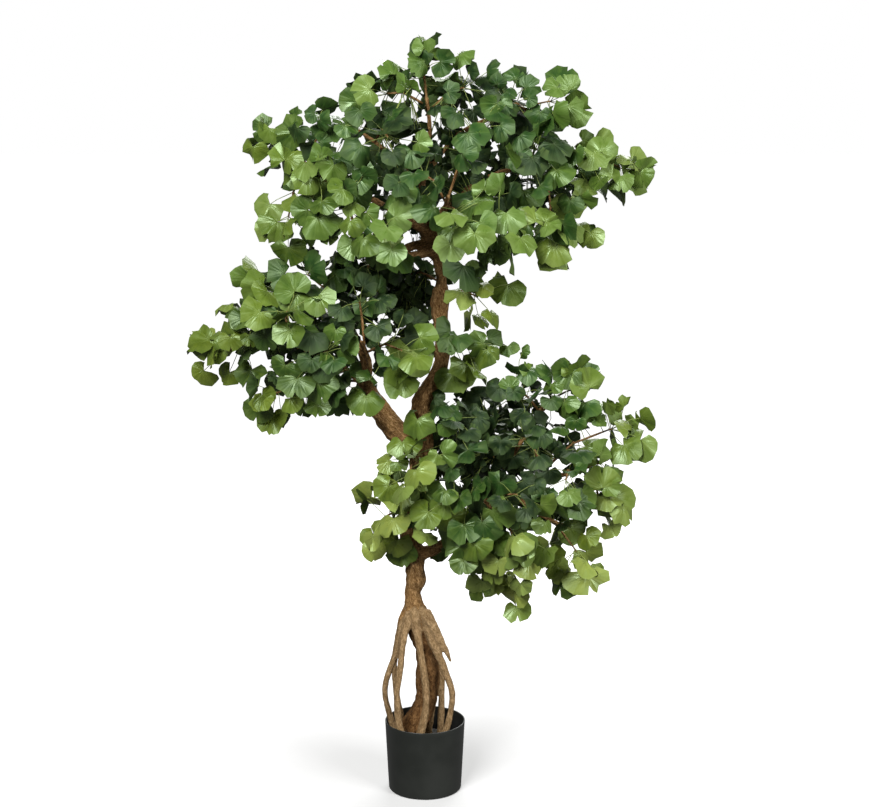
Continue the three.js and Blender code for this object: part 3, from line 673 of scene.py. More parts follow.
# The foliage. Each spray keeps the twig and the leaves of its node, in a finer form, and gets more leaves.
leafForm = {
    "thickness": 0.0006,
    "frameThickness": 0.0009,  # between the two faces of a blade in the frame
    "frameStalk": 0.00085,  # half the width of a stalk in the frame
    "frameFoot": 0.002,  # all of a blade's foot there lies this near
    "exact": (1e-6, 5e-6),  # points this near are one, and how well a thickness is met
    "size": 0.92,  # beside the frame's blade, whose edges are straight
    "wider": 1.17,  # and its spread, so that the lobes round up beside the stalk
    "ruffle": (0.05, 0.18),  # how far its broad waves rise, as a share of the radius
    "ruffles": (2.6, 6.0),  # how many of them lie in a radian
    "wave": (0.03, 0.085),  # how deep the rim's broad waves are, as a share of the radius
    "waves": (5.5, 9.0),  # how many of them lie in a radian
    "phase": (0, 6.28),  # where in a turn all these waves start
    "uneven": 0.022,  # how unevenly the rim runs
    "nicks": 0.1,  # the share of rim places that are nicked
    "nick": (0.82, 0.93),
    "ends": 0.78,  # how far out the fan's two corners lie beside the frame's
    "notch": (0.8, 1.35),  # and the notch's foot
    "innerRow": 0.52,  # how far out the blade's middle row of points lies
    "innerNotch": 0.8,  # and in the notch at most, as a share of the way to the rim
    "innerLift": (0.38, 0.5, 0.35, 0.3),  # its shares of the lift, the pleats, the wings and the ruffle
    "pleat": 0.024,  # height of the folds that fan out from the stalk, as a share of the radius
    "pleats": (0.3, 1.5),
    "ear": (0.96, 1.2),  # how far the side lobes reach back half-way out
    "wing": (-0.44, 0.28),  # how far the two sides rise, as a share of the radius
    "folded": (0.25, 2.2),  # the share of leaves whose sides bend much further, and how much
    "curl": (-0.28, 0.12),  # how far the rim rises
    "stalkRadius": (0.00095, 0.0007),  # at the twig and at the blade
    "stalkRows": 4,
    "stalkSides": 3,
    "stalkEnds": (0.03, 0.001),  # its share within the twig, and how far it runs on under the blade
    "stalkArrives": (0.55, 0.45),  # shares of its straight way and of the blade's run where it comes in
    "stalkHandles": (0.35, 0.33),
}
# Places along the rim, counted in the frame's seven stations, with the notch at 3.
rimPlaces = np.array([0, 0.35, 0.8, 1.3, 1.8, 2.3, 2.8, 3, 3.2, 3.7, 4.2, 4.7, 5.2, 5.65, 6])
rimWeights = smoothPath(np.eye(7), 20)[np.round(rimPlaces * 20).astype(int)]
notchPlace = 7


# The merged points and triangles of a node's mesh.
def mergedNode(node):
    mesh = frame["nodes"][node].data
    points, corners = listed(mesh.vertices, "co", 3), listed(mesh.loops, "vertex_index", 1, int)
    whole = np.round(points / leafForm["exact"][0]).astype(int)
    _, first, merged = np.unique(whole, axis=0, return_index=True, return_inverse=True)
    return points[first], merged.ravel()[corners].reshape(-1, 3)


# Reads a spray: a blade's rim is seven pairs of joined points one thickness apart, and its top is the point
# that all the upper seven share. What is left over is the twig, whose rings of three follow each other.
def readSpray(node):
    points, triangles = mergedNode(node)
    apart = np.linalg.norm(points[:, None] - points[None], axis=2)
    joined = np.zeros(apart.shape, bool)
    for k in range(3):
        ends = triangles[:, [k, (k + 1) % 3]]
        joined[ends[:, 0], ends[:, 1]] = joined[ends[:, 1], ends[:, 0]] = True
    paired = joined & (np.abs(apart - leafForm["frameThickness"]) < leafForm["exact"][1])
    isRim = paired.any(1)
    partner = paired.argmax(1)
    fans = triangles[isRim[triangles].sum(1) == 2]
    apex = fans[~isRim[fans]]
    others = np.array([np.roll(fan, -list(fan).index(a))[1:] for fan, a in zip(fans, apex)])
    used = set(np.flatnonzero(isRim))
    leaves = []
    for top in [a for a in np.unique(apex) if (apex == a).sum() == 7]:
        following = {b: a for a, b in others[apex == top] if partner[a] != b}
        chain = [(set(following) - set(following.values())).pop()]
        while chain[-1] in following:
            chain.append(following[chain[-1]])
        above, under = points[chain], partner[chain]
        normal = unit((above - points[under]).mean(0))
        near = set(np.flatnonzero(apart[top] < leafForm["frameFoot"])) - {top}
        pairs = [(a, set(pair)) for a, pair in zip(apex, others) if a in near]
        first, last = (next(a for a, pair in pairs if pair == set(under[k:k + 2])) for k in (0, 5))
        across = unit(points[last] - points[first])
        along = np.cross(normal, across)
        trio = {top, first, last}
        touching = set(triangles[np.isin(triangles, list(trio)).any(1)].ravel())
        foot = [k for k in touching if not isRim[k] and k not in trio]
        used |= trio
        base = points[top] - normal * leafForm["frameStalk"]
        rim = (above + points[under]) / 2 - base
        leaves.append({
            "root": points[foot].mean(0), "base": base, "normal": normal, "across": across, "along": along,
            "angle": np.arctan2(rim @ across, rim @ along), "reach": np.hypot(rim @ across, rim @ along),
            "lift": rim @ normal,
        })
    rest = points[sorted(set(range(len(points))) - used)]
    chord = np.linalg.svd(rest - rest.mean(0))[2][0]
    rings = rest[np.argsort(rest @ chord)].reshape(-1, 3, 3).mean(1)
    roots = np.array([one["root"] for one in leaves])
    nearness = [np.linalg.norm(roots - end, axis=1).min() for end in (rings[0], rings[-1])]
    return leaves, rings if nearness[0] > nearness[1] else rings[::-1]


# Many leaves' arrays under one name each.
def stacked(leaves):
    return {key: np.array([one[key] for one in leaves]) for key in leaves[0]}


# The blades of a spray: point = base + (across sin(a) + along cos(a)) d + normal h, on two rows of rim
# places, and the two faces meet in the rim. The angle a, the distance d and the height h come from the
# frame's seven stations by the cubic blend. The distance gets a waved and nicked edge, and the height gets
# pleats and wings.
def bladePoints(leaves, draw):
    count, places = len(leaves["base"]), len(rimPlaces)
    base, across, along, normal = (leaves[key][:, None] for key in ("base", "across", "along", "normal"))

    def drawn(low, high, columns=1):
        return draw.uniform(low, high, (count, columns))

    def waved(depth, rate, scale=1):
        height = scale * drawn(*leafForm[depth])
        return height * np.sin(angle * drawn(*leafForm[rate]) + drawn(*leafForm["phase"]))

    radius = leaves["reach"][:, [1, 2, 4, 5]].mean(1)[:, None]
    reach = leaves["reach"] * leafForm["size"]
    beside = reach[:, [2, 4]].mean(1)
    notch = reach[:, 3] / beside * drawn(*leafForm["notch"])[:, 0]
    reach[:, 3] = beside
    reach[:, [0, -1]] *= leafForm["ends"]
    angle = leaves["angle"] @ rimWeights.T * leafForm["wider"]
    wave = waved("wave", "waves")
    outer = (reach @ rimWeights.T) * (1 + wave + leafForm["uneven"] * drawn(-1, 1, places))
    nicked = drawn(0, 1, places) < leafForm["nicks"]
    outer *= np.where(nicked, drawn(*leafForm["nick"], places), 1)
    outer[:, notchPlace] *= notch
    inner = outer.mean(1, keepdims=True) * leafForm["innerRow"] * np.ones(places)
    inner[:, notchPlace] = np.minimum(inner[:, notchPlace], outer[:, notchPlace] * leafForm["innerNotch"])
    share = np.abs(angle) / np.abs(angle).max(1, keepdims=True)
    innerAngle = angle * (1 + (drawn(*leafForm["ear"]) - 1) * share ** 2)

    lift = leaves["lift"] @ rimWeights.T
    fold = radius * leafForm["pleat"] * drawn(*leafForm["pleats"], places) * (-1) ** np.arange(places)
    fold[:, notchPlace] = -np.abs(fold[:, notchPlace])
    folded, further = leafForm["folded"]
    bent = np.where(drawn(0, 1) < folded, further, 1)
    left, right = bent * drawn(*leafForm["wing"]), bent * drawn(*leafForm["wing"])
    wing = radius * np.where(angle < 0, left, right) * np.abs(np.sin(angle))
    curl = radius * drawn(*leafForm["curl"])
    ruffle = waved("ruffle", "ruffles", radius)
    innerLift = sum(rise * part for rise, part in zip((lift, fold, wing, ruffle), leafForm["innerLift"]))
    outerLift = lift + fold + wing + curl + ruffle

    def row(a, d, h):
        flat = np.sin(a)[..., None] * across + np.cos(a)[..., None] * along
        return base + flat * d[..., None] + normal * h[..., None]

    def flatPlace(a, d):
        return np.stack([np.sin(a) * d, np.cos(a) * d, np.zeros_like(d)], -1)

    middle = np.concatenate([base, row(innerAngle, inner, innerLift)], 1)
    half = normal * leafForm["thickness"] / 2
    points = [middle + half, middle - half, row(angle, outer, outerLift)]
    foot = np.zeros((count, 1))
    place = flatPlace(np.hstack([foot, innerAngle]), np.hstack([foot, inner]) / radius)
    return np.concatenate(points, 1), np.concatenate([place, place, flatPlace(angle, outer / radius)], 1)


# Faces of one blade: a fan from its foot to the middle row and quads on to the rim, above and below, and
# the narrow sides from the foot to the rim's two ends.
def bladeFaces():
    places = len(rimPlaces)
    k = np.arange(places - 1)
    inner, lower, outer = 1 + k, 1 + places, 2 + 2 * places + k
    fan = np.stack([np.zeros_like(k), inner + 1, inner], -1)
    quads = np.stack([inner, inner + 1, outer + 1, outer], -1)
    under = np.stack([outer, outer + 1, inner + 1 + lower, inner + lower], -1)
    last, rim = places, 2 + 2 * places
    sides = [[0, 1, 1 + lower, lower], [1, rim, 1 + lower],
             [0, lower, last + lower, last], [last, last + lower, rim + places - 1]]
    faces = fan.tolist() + (fan[:, ::-1] + lower).tolist() + quads.tolist() + under.tolist()
    return faces, sides


# The stalks of a spray: rings round the cubic curve from the twig that comes in along the blade.
def stalkPoints(leaves):
    rows, sides = leafForm["stalkRows"], leafForm["stalkSides"]
    root, base, along, normal = (leaves[key] for key in ("root", "base", "along", "normal"))
    sunk, under = leafForm["stalkEnds"]
    straight, withBlade = leafForm["stalkArrives"]
    handle, lastHandle = leafForm["stalkHandles"]
    t = np.linspace(0, 1, rows)[None, :, None]
    run = base - root
    length = np.linalg.norm(run, axis=1, keepdims=True)
    arrive = run / length * straight + along * withBlade
    first, final = root - run * sunk, base + along * under
    early, late = root + run * handle, base - arrive * length * lastHandle
    path = (first[:, None] * (1 - t) ** 3 + 3 * early[:, None] * (1 - t) ** 2 * t
            + 3 * late[:, None] * (1 - t) * t ** 2 + final[:, None] * t ** 3)
    direction = units(np.gradient(path, axis=1))
    normal = normal[:, None]
    side = units(normal - direction * (direction * normal).sum(2, keepdims=True))
    thick = np.linspace(*leafForm["stalkRadius"], rows)[None]
    points = ringsRound(path, thick, side, np.cross(direction, side), sides)
    return points.reshape(len(run), rows * sides, 3)


# All blades and stalks of a spray as one mesh.
def sprayMesh(name, leaves, seed):
    draw = np.random.default_rng(seed)
    blades, place = bladePoints(leaves, draw)
    stalks = stalkPoints(leaves)
    points = np.concatenate([blades, stalks], 1)
    count, each = points.shape[:2]
    shift, rest, places = blades.shape[1], stalks.shape[1], len(rimPlaces)
    faces, flatFaces = bladeFaces()
    rows, sides = leafForm["stalkRows"], leafForm["stalkSides"]
    faces += gridFaces(rows, sides, True, shift)
    faces += [[shift + k for k in range(sides)][::-1], [each - sides + k for k in range(sides)]]
    smoothFaces, edgeFaces = ([[k + n * each for k in face] for n in range(count) for face in some]
                              for some in (faces, flatFaces))
    mesh = makeMesh(name, points.reshape(-1, 3), smoothFaces + edgeFaces)
    mesh.polygons.foreach_set("use_smooth", np.arange(len(mesh.polygons)) < len(smoothFaces))
    ends = listed(mesh.edges, "vertices", 2, int) % each
    sharp = mesh.attributes.new("sharp_edge", "BOOLEAN", "EDGE")
    sharp.data.foreach_set("value", ((ends >= shift - places) & (ends < shift)).all(1))

    place[:, :, 2] = draw.uniform(0, 1, (count, 1))
    place = np.concatenate([place, np.zeros((count, rest, 3))], 1)
    keepAttribute(mesh, "leafPlace", place.reshape(-1, 3))
    counts = [1 + places, 1 + places, places, rest]
    keepAttribute(mesh, "underside", np.tile(np.repeat([0, 1, 0.5, 0], counts), count))
    keepAttribute(mesh, "stalk", np.tile(np.repeat([0, 1], [shift, rest]), count))
    for key in ("tone", "yellow"):
        keepAttribute(mesh, key, np.repeat(leaves[key], each))
    return mesh


# The middle and the half sizes of each tier, and how yellow and how light it is.
tiers = {
    "crown": {"centre": (0.03, 0, 1.23), "half": (0.36, 0.2, 0.22), "yellow": 0.05, "light": 0.01},
    "left": {"centre": (-0.19, 0, 0.91), "half": (0.23, 0.15, 0.15), "yellow": 0.58, "light": 0},
    "right": {"centre": (0.15, 0, 0.64), "half": (0.24, 0.16, 0.2), "yellow": 0.44, "light": 0.1},
    "stem": {"centre": (0.02, 0, 0.89), "half": (0.14, 0.12, 0.17), "light": 0},
}
# Where the stem's bark stays bare in front: x, z and how wide, in mm.
barePlaces = [(-14, 1100, 44), (36, 1060, 30), (30, 1000, 24), (30, 955, 22)]
# More leaves, in eggs: the middle and the half sizes, how many, their radius, and how far out in the
# egg they may stand in front and behind. The last ones lie further in and are dark: painted shade of the
# tiers' insides.
masses = {tier: [tiers[tier]["centre"], tiers[tier]["half"], count, (0.018, 0.036), 0.8, 0.96]
          for tier, count in (("crown", 100), ("left", 50), ("right", 75))}
masses |= {
    "crownWithin": [(0.03, 0.03, 1.27), (0.19, 0.09, 0.14), 75, (0.016, 0.03), 0.9, 0.9],
    "crownLow": [(0.05, 0.03, 1.2), (0.26, 0.09, 0.06), 40, (0.016, 0.03), 0.9, 0.9],
    "leftInner": [(-0.075, 0.06, 0.98), (0.105, 0.05, 0.09), 64, (0.016, 0.032), 0.9, 0.95],
    "leftWithin": [(-0.19, 0, 0.9), (0.13, 0.07, 0.08), 24, (0.016, 0.03), 0.9, 0.9],
    "rightInner": [(0.12, 0.03, 0.71), (0.13, 0.07, 0.12), 95, (0.016, 0.03), 0.9, 0.95],
    "rightWithin": [(0.21, 0.02, 0.64), (0.13, 0.07, 0.11), 45, (0.016, 0.03), 0.9, 0.95],
    "rightBehind": [(0.11, 0.06, 0.69), (0.08, 0.05, 0.09), 30, (0.018, 0.03), 0.9, 0.95],
    "stemBehind": [(-0.03, 0.06, 0.995), (0.055, 0.04, 0.065), 24, (0.018, 0.03), 0.9, 0.95],
    "forkBehind": [(-0.028, 0.055, 1.112), (0.045, 0.03, 0.03), 9, (0.018, 0.03), 0.9, 0.95],
}
# Gaps between the tiers and in their edges, which no further leaf hides: x, z and how wide, in mm, as seen
# on the middle plane.
gaps = [
    (-272, 783, 49), (-194, 783, 43), (126, 1046, 45), (136, 969, 52), (117, 901, 39), (-142, 1138, 39),
    (-190, 1161, 27), (-248, 1108, 31), (-313, 1199, 27), (79, 448, 30), (188, 427, 33), (345, 513, 43),
    (265, 634, 35), (-407, 829, 43), (185, 862, 27), (420, 734, 27), (96, 1330, 23), (313, 1312, 31),
    (-87, 694, 23), (-108, 472, 27), (105, 1442, 31), (-284, 1218, 23), (-119, 1132, 25), (136, 842, 23),
    (-80, 670, 17), (306, 497, 25), (368, 564, 19), (-194, 775, 17), (178, 1021, 16), (155, 921, 19),
    (88, 901, 16), (-256, 1218, 17), (-309, 1180, 16), (-354, 1043, 16), (312, 1364, 16),
]
# Where the foliage is in its own shade: x, z, how wide and how much darker.
darkPlaces = [
    (-0.085, 0.985, 0.09, 0.5), (-0.16, 0.9, 0.07, 0.32), (0.125, 0.725, 0.13, 0.85),
    (0.215, 0.65, 0.09, 0.35), (0.08, 1.32, 0.16, 0.3), (-0.07, 1.25, 0.11, 0.25), (0.16, 1.21, 0.08, 0.2),
    (-0.19, 0.9, 0.2, 0.2),
]
moreLeaves = {
    "spread": (90, 122),  # degrees to either side of the blade's middle
    "looseRun": 1.1,  # how far the blade's run and its facing stray
    "looseFacing": 1.5,
    "smaller": 0.75,  # the frame's leaves that stand in a gap or in the shade
    "shaded": 0.3,
    "draws": 12,
    "least": 0.008,  # between the middles of two leaves
    "roomAcross": (1, 0.6, 1),  # gaps from the front count for more than gaps in depth
    "out": (0.05, 0.45),  # the least draw of how far out they stand, and the power that sends them out
    "run": (0.4, 0.6),  # how much a blade runs outwards and how much down
    "facing": (0.7, 0.3),  # how much it faces forwards or back, and how much up
    "facesBack": 0.3,  # from this far back on it faces back
    "tone": (0.03, 0.75, 0.55, 0.12),  # at least, more with the way out (less painted shade), from where on, and by chance
    "middle": 0.02,  # from a blade's foot to its middle and to its tip
    "tip": 0.045,
    "edge": 0.004,  # to stay within the frame's box, off the bark and out of the gaps
    "offBark": 0.012,
    "offGap": 0.012,
    "uneven": (0.05, (0.93, 1.07), 0.08),  # how far the stations of a rim stray in angle, reach and height
    "stalkPlaces": (6, 4),  # places for stalks in each stretch of a twig, and how many its foot leaves out
    "cupped": 0.07,  # how far the sides hang
}
seeds = {"front": 77, "masses": 500, "looks": 600, "sprays": 900}
# The frame's rim: share of the spread, share of the radius and height as a share of it.
rimForm = np.array([(-1, 0.82, -0.06), (-0.62, 0.98, 0.06), (-0.25, 1, -0.05), (0, 0.7, 0.05),
                    (0.25, 1, -0.05), (0.62, 0.98, 0.06), (1, 0.82, -0.06)])


# The middle of a leaf's blade.
def middleOf(one):
    return one["base"] + one["along"] * moreLeaves["middle"]


# A leaf on the nearest twig, and that twig's spray, from the blade's foot, run, facing, radius and spread.
def bladeFrom(base, along, facing, size, spread, draw):
    nearest = np.linalg.norm(twigPoints - base, axis=1).argmin()
    normal = unit(facing - along * facing.dot(along))
    angle = spread * rimForm[:, 0]
    turned, reach, raised = moreLeaves["uneven"]
    return {
        "root": twigPoints[nearest], "base": base, "normal": normal, "across": np.cross(along, normal),
        "along": along, "angle": angle + draw.uniform(-turned, turned, 7),
        "reach": size * rimForm[:, 1] * draw.uniform(*reach, 7),
        "lift": size * (rimForm[:, 2] + draw.uniform(-raised, raised, 7)
                        - moreLeaves["cupped"] * (1 - np.cos(angle))),
    }, twigNames[nearest]


# The sum of depth * exp(-(distance / width) squared) over the dark places.
def shadeAt(base):
    return sum(deep * math.exp(-((base[0] - x) ** 2 + (base[2] - z) ** 2) / wide ** 2)
               for x, z, wide, deep in darkPlaces)


# One more leaf within an egg: it hangs outwards and faces the nearer side.
def drawnLeaf(mass, draw):
    centre, half, _, size, front, back = masses[mass]
    least, power = moreLeaves["out"]
    outwards, hanging = moreLeaves["run"]
    sideways, rising = moreLeaves["facing"]
    dark, growth, start, chance = moreLeaves["tone"]
    outer = mass in tiers
    way = unit(draw.normal(0, 1, 3))
    out = (front if way[1] < 0 else back) * draw.uniform(least, 1) ** power
    base = np.array(centre) + way * out * half
    loose = moreLeaves["looseRun"] * draw.uniform(-1, 1, 3)
    along = unit(outwards * way - np.array([0, 0, hanging]) + loose)
    side = sideways if way[1] > moreLeaves["facesBack"] and outer else -sideways
    facing = way + np.array([0, side, rising]) + moreLeaves["looseFacing"] * draw.uniform(-1, 1, 3)
    spread = math.radians(draw.uniform(*moreLeaves["spread"]))
    one, node = bladeFrom(base, along, facing, draw.uniform(*size), spread, draw)
    # Its tone is painted shade: darker further into the egg and in the dark places.
    tone = dark + growth * max(0, out - start) * outer + draw.uniform(0, chance) - shadeAt(base)
    return {**one, "tone": max(0, tone)}, node


# The sprays of the frame, and the wood as points with radii.
slotOf = {part["node"]: part["material_slot"] for part in frame["record"]["subparts"]}
woodPath = np.vstack([np.hstack([path, radius[:, None]]) for _, path, radius, _ in limbPaths()])
sprays = {}
for node in sorted(n for n in frame["nodes"] if n.startswith("spray_")):
    leaves, rings = readSpray(node)
    tier = tiers[node.split("_")[1]]
    sprays[node] = {"leaves": leaves, "rings": rings, "tier": tier, "slot": slotOf[node]}
middles = [middleOf(one) for spray in sprays.values() for one in spray["leaves"]]
print("sprays read:", len(sprays), "leaves:", len(middles))


# Leaves at the front of each tier: x and z of the blade's foot in mm, which way the blade runs in degrees
# from the right over the top, its radius in mm, its tone in percent, and how far it is turned about its run
# and leant forward.
frontLeaves = {"crown": [
    (-274, 1143, -125, 41, 62, 0, 10), (-195, 1156, -62, 45, 60, 15), (-213, 1169, 200, 35, 46, 0, -15),
    (-127, 1111, -88, 38, 66, 0, 8), (-71, 1131, -80, 40, 76, 0, 22), (-105, 1167, -60, 30, 66, 25),
    (-251, 1263, -70, 32, 60, 20), (-257, 1259, 105, 34, 60, 30), (-185, 1264, 85, 33, 64, 10, -15),
    (-215, 1255, -75, 40, 72, 15, 20), (-163, 1252, -120, 35, 66, 20), (-321, 1281, -92, 34, 58, 40),
    (-288, 1316, -115, 31, 60, 35), (-300, 1316, 95, 24, 58, 55), (-233, 1317, -95, 32, 10, 35),
    (-201, 1344, 185, 24, 22, 35), (-186, 1350, 5, 37, 22, 45), (-190, 1332, -50, 24, 28, 20, 10),
    (-98, 1387, 190, 39, 76, 0, 10), (-55, 1413, 135, 34, 56, 35), (0, 1463, 120, 28, 72, 10),
    (7, 1453, 35, 29, 74), (-2, 1459, -135, 31, 18, 15), (29, 1437, -10, 32, 28),
    (-34, 1389, 92, 32, 60, 60), (-25, 1389, -15, 25, 62, 45), (-11, 1293, -25, 31, 74, 10, 10),
    (-23, 1279, -120, 38, 30, 10, -10), (-106, 1240, 85, 30, 34, 20, -20), (-112, 1233, -35, 33, 32, 30, 20),
    (-116, 1350, -70, 35, 24, 10), (-58, 1339, -82, 33, 34, 50, 20), (-145, 1207, -40, 31, 24, 30, 10),
    (-7, 1181, -55, 30, 48, 10), (51, 1137, -95, 35, 58, 0, 12), (-41, 1208, -65, 31, 54, 30, -10),
    (-143, 1323, -60, 28, 38, 20), (65, 1450, -15, 31, 62, 0, 50), (115, 1418, 25, 29, 28, 0, 40),
    (133, 1396, 60, 22, 22, 0, 30), (168, 1404, 60, 27, 32, 20), (185, 1389, 10, 30, 26, 0, 20),
    (246, 1391, 195, 29, 70, 0, 20), (271, 1386, 115, 34, 72, 20), (262, 1357, -80, 39, 72, 30, 10),
    (235, 1346, -70, 37, 58, 60), (211, 1346, -110, 32, 24, 30), (220, 1328, -100, 30, 34, 30, 10),
    (132, 1361, -110, 32, 42, 0, -15), (147, 1359, -60, 28, 14), (137, 1323, -50, 30, 26, 0, 10),
    (79, 1309, -50, 45, 34, 0, 20), (97, 1309, -90, 18, 66, 20), (173, 1305, -60, 32, 26, 0, 10),
    (170, 1265, -40, 30, 32, 0, 20), (68, 1274, -45, 36, 34, 10, 20), (151, 1279, -65, 43, 60, 68),
    (108, 1208, 80, 25, 72, 30, -20), (137, 1208, 75, 35, 70, 45, -15), (149, 1166, -85, 45, 74, 0, 22),
    (175, 1134, 95, 33, 78, 30, -20), (204, 1148, 100, 40, 78, 45, -20), (98, 1185, -110, 33, 60, 30, 10),
    (109, 1146, -95, 33, 34, 0, 20), (64, 1137, -80, 35, 58, 10, 12), (157, 1115, -90, 33, 70, 0, 15),
    (162, 1082, -85, 37, 56, 60), (132, 1102, -95, 37, 44, 55), (241, 1105, -118, 44, 70, 10, 15),
    (221, 1148, 35, 28, 68), (227, 1144, -35, 28, 70, 0, 15), (255, 1143, -70, 44, 28, 50),
    (310, 1125, -110, 37, 66, 10, 10), (286, 1192, -50, 34, 58, 65), (327, 1273, 80, 35, 68, 0, -10),
    (367, 1228, -100, 34, 74, 0, 18), (348, 1225, 95, 31, 70, 55), (386, 1247, 90, 22, 66, 0, 60),
    (407, 1238, 20, 34, 64, 30, 20), (405, 1234, -75, 34, 60, 40), (324, 1223, -120, 27, 48, 30),
    (294, 1269, 120, 23, 60, 20), (275, 1278, -100, 30, 38, 10), (240, 1243, -100, 37, 48, 50),
    (210, 1214, -40, 33, 30, 0, 30), (267, 1187, -100, 30, 24, 30), (72, 1067, -110, 47, 14, 0, 15),
    (103, 1061, -30, 20, 22, 0, 20), (87, 1016, -40, 24, 64, 30), (159, 1023, -110, 46, 54, 10),
    (-177, 1123, -90, 21, 60), (-189, 1291, 0, 23, 26, 20), (42, 1382, 0, 26, 22, 0, 20),
    (149, 1382, -20, 23, 24, 0, 30), (189, 1371, 10, 24, 30, 20), (-135, 1070, 180, 17, 30, 40),
], "left": [
    (-332, 1030, 92, 35, 58, 60), (-306, 1019, 185, 41, 66, 0, 10), (-293, 1013, -120, 37, 64, 0, 20),
    (-247, 1018, 100, 30, 64, 0, -10), (-240, 1013, -100, 41, 66, 0, 15), (-198, 1008, -60, 40, 70, 0, 12),
    (-109, 996, -90, 32, 38, 0, 20), (-87, 1016, 80, 32, 36, 20, -10), (-126, 1050, -110, 34, 20, 20, 10),
    (-336, 965, 140, 32, 32, 0, -10), (-304, 990, -80, 30, 16, 0, 20), (-421, 915, 150, 33, 62, 0, -15),
    (-400, 919, 30, 27, 62, 0, 10), (-409, 917, -105, 52, 64, 15), (-366, 929, -90, 29, 60, 10, 10),
    (-370, 955, -60, 29, 48, 20), (-326, 935, -90, 24, 42, 0, 20), (-297, 937, -80, 34, 22, 20),
    (-236, 956, -150, 30, 58, 10), (-208, 942, -105, 40, 10, 0, 10), (-164, 948, -105, 30, 66, 0, 10),
    (-153, 914, -30, 37, 66, 10), (-184, 888, 95, 23, 60, 20), (-259, 881, -120, 32, 34, 10),
    (-238, 856, -95, 44, 36, 0, 10), (-198, 849, -80, 47, 46, 20), (-184, 882, -70, 37, 20, 0, 10),
    (-173, 832, -20, 37, 28, 0, 20), (-314, 838, 180, 32, 14, 0, 45), (-308, 817, -50, 32, 60, 10),
    (-253, 814, -70, 30, 66, 0, 10), (-295, 763, -85, 38, 56, 0, 5), (-110, 818, -95, 42, 60, 0, 14),
    (-102, 851, 90, 27, 44, 0, -20), (-237, 1068, 90, 28, 18, 0, -10), (-214, 1072, 70, 24, 18, 20),
    (-166, 1083, -95, 30, 50, 0, 10), (-151, 1053, -60, 24, 20, 20), (-49, 1042, -100, 28, 14),
    (-76, 1000, -60, 27, 8), (-39, 972, -120, 27, 10), (-90, 955, -80, 27, 14),
], "stem": [
    (-42, 847, -100, 41, 54, 10), (-22, 905, -110, 55, 84), (44, 930, -60, 36, 20, 0, 15),
    (12, 915, 100, 24, 40, 20), (112, 915, -150, 36, 34), (-14, 768, -100, 42, 60, 35, 10),
    (160, 902, -80, 24, 40, 40), (187, 891, -40, 17, 46, 50),
], "right": [
    (57, 853, -75, 47, 60, 10, 10), (72, 872, -50, 31, 56, 30), (-43, 722, -80, 38, 54, 10),
    (35, 710, 10, 34, 64, 0, 10), (26, 708, -120, 24, 68, 0, 20), (-8, 681, -20, 30, 56, 0, 30),
    (-71, 631, 170, 34, 64), (-8, 635, 130, 30, 70, 20, -15), (-43, 634, -100, 51, 68, 0, 12),
    (37, 624, -60, 40, 62, 0, 5), (-112, 601, 180, 33, 14, 0, 60), (-101, 533, -95, 33, 60, 0, 5),
    (1, 551, -95, 32, 88, 0, 25), (-24, 586, -80, 30, 14), (-44, 500, -80, 38, 30, 30),
    (72, 532, -140, 40, 22), (109, 583, -90, 50, 22, 0, 8), (127, 608, -60, 47, 66, 45, 10),
    (199, 603, 150, 23, 60, 10), (218, 616, -40, 37, 60, 10), (228, 582, -100, 28, 70, 0, 30),
    (260, 614, -60, 37, 34, 20, -10), (182, 530, -90, 40, 72, 0, 18), (130, 480, -90, 36, 66, 0, 15),
    (142, 436, -25, 26, 76, 0, 20), (105, 429, -60, 31, 28, 0, 50), (180, 386, -85, 34, 60),
    (230, 525, -110, 40, 60, 20, 5), (254, 474, -50, 29, 72, 0, 20), (269, 440, -105, 38, 28, 15),
    (328, 456, -40, 27, 60), (310, 544, -60, 31, 56, 40), (295, 631, -60, 34, 64, 0, 20),
    (367, 614, -70, 48, 64, 10), (341, 638, 95, 44, 62, 10), (345, 643, 10, 34, 58, 10),
    (318, 822, 115, 48, 60, 20), (283, 853, 105, 28, 58, 60), (203, 849, 95, 26, 56, 20),
    (199, 857, -40, 33, 24, 0, 10), (279, 857, -130, 41, 26), (163, 826, 110, 26, 50, 20),
    (393, 739, 130, 31, 66, 20), (417, 720, -120, 48, 62, 30), (416, 763, -50, 38, 54, 60),
    (335, 701, 60, 34, 64, 10), (49, 784, -40, 31, 26, 10, 10), (82, 720, -25, 40, 28, 0, 50),
    (39, 761, -60, 27, 52, 20), (309, 794, -110, 45, 26, 0, 10), (218, 752, -90, 34, 22, 0, 10),
    (108, 662, -90, 37, 28, 60), (142, 662, -110, 33, 32, 30), (267, 799, -75, 31, 42, 10, 10),
    (315, 783, -115, 31, 52, 20), (350, 794, -60, 30, 62, 10, 10), (289, 767, -90, 26, 28, 30),
    (245, 830, -90, 26, 36, 0, 10), (217, 821, -130, 24, 26, 30), (18, 802, -10, 26, 18, 10, 10),
    (-51, 685, -60, 23, 40, 20), (52, 682, -120, 26, 20, 20, 10), (334, 765, -20, 26, 40),
    (385, 785, 140, 24, 50, 20), (241, 806, -70, 26, 18), (300, 826, -60, 25, 30), (170, 822, -80, 26, 12),
    (142, 736, -90, 26, 8),
]}
frontForm = {
    "forward": 0.9,  # how far forward they stand in their tier
    "least": 0.04,  # the square of how deep the tier's egg is at least
    "spread": (92, 116),  # degrees to either side of the blade's middle
    "large": (46, 14, 0.25),  # the largest radius, how much smaller ones turn fully, and the least share
    "turn": 42,  # degrees that a leaf may turn and lean by chance
    "lean": 32,
    "shade": 0.2,  # the share of the dark places that their tone doesn't have yet
}
down = math.radians(camera["pitch"])
towardsFront = np.array([0, -math.cos(down), math.sin(down)])
upwards = np.array([0, math.sin(down), math.cos(down)])


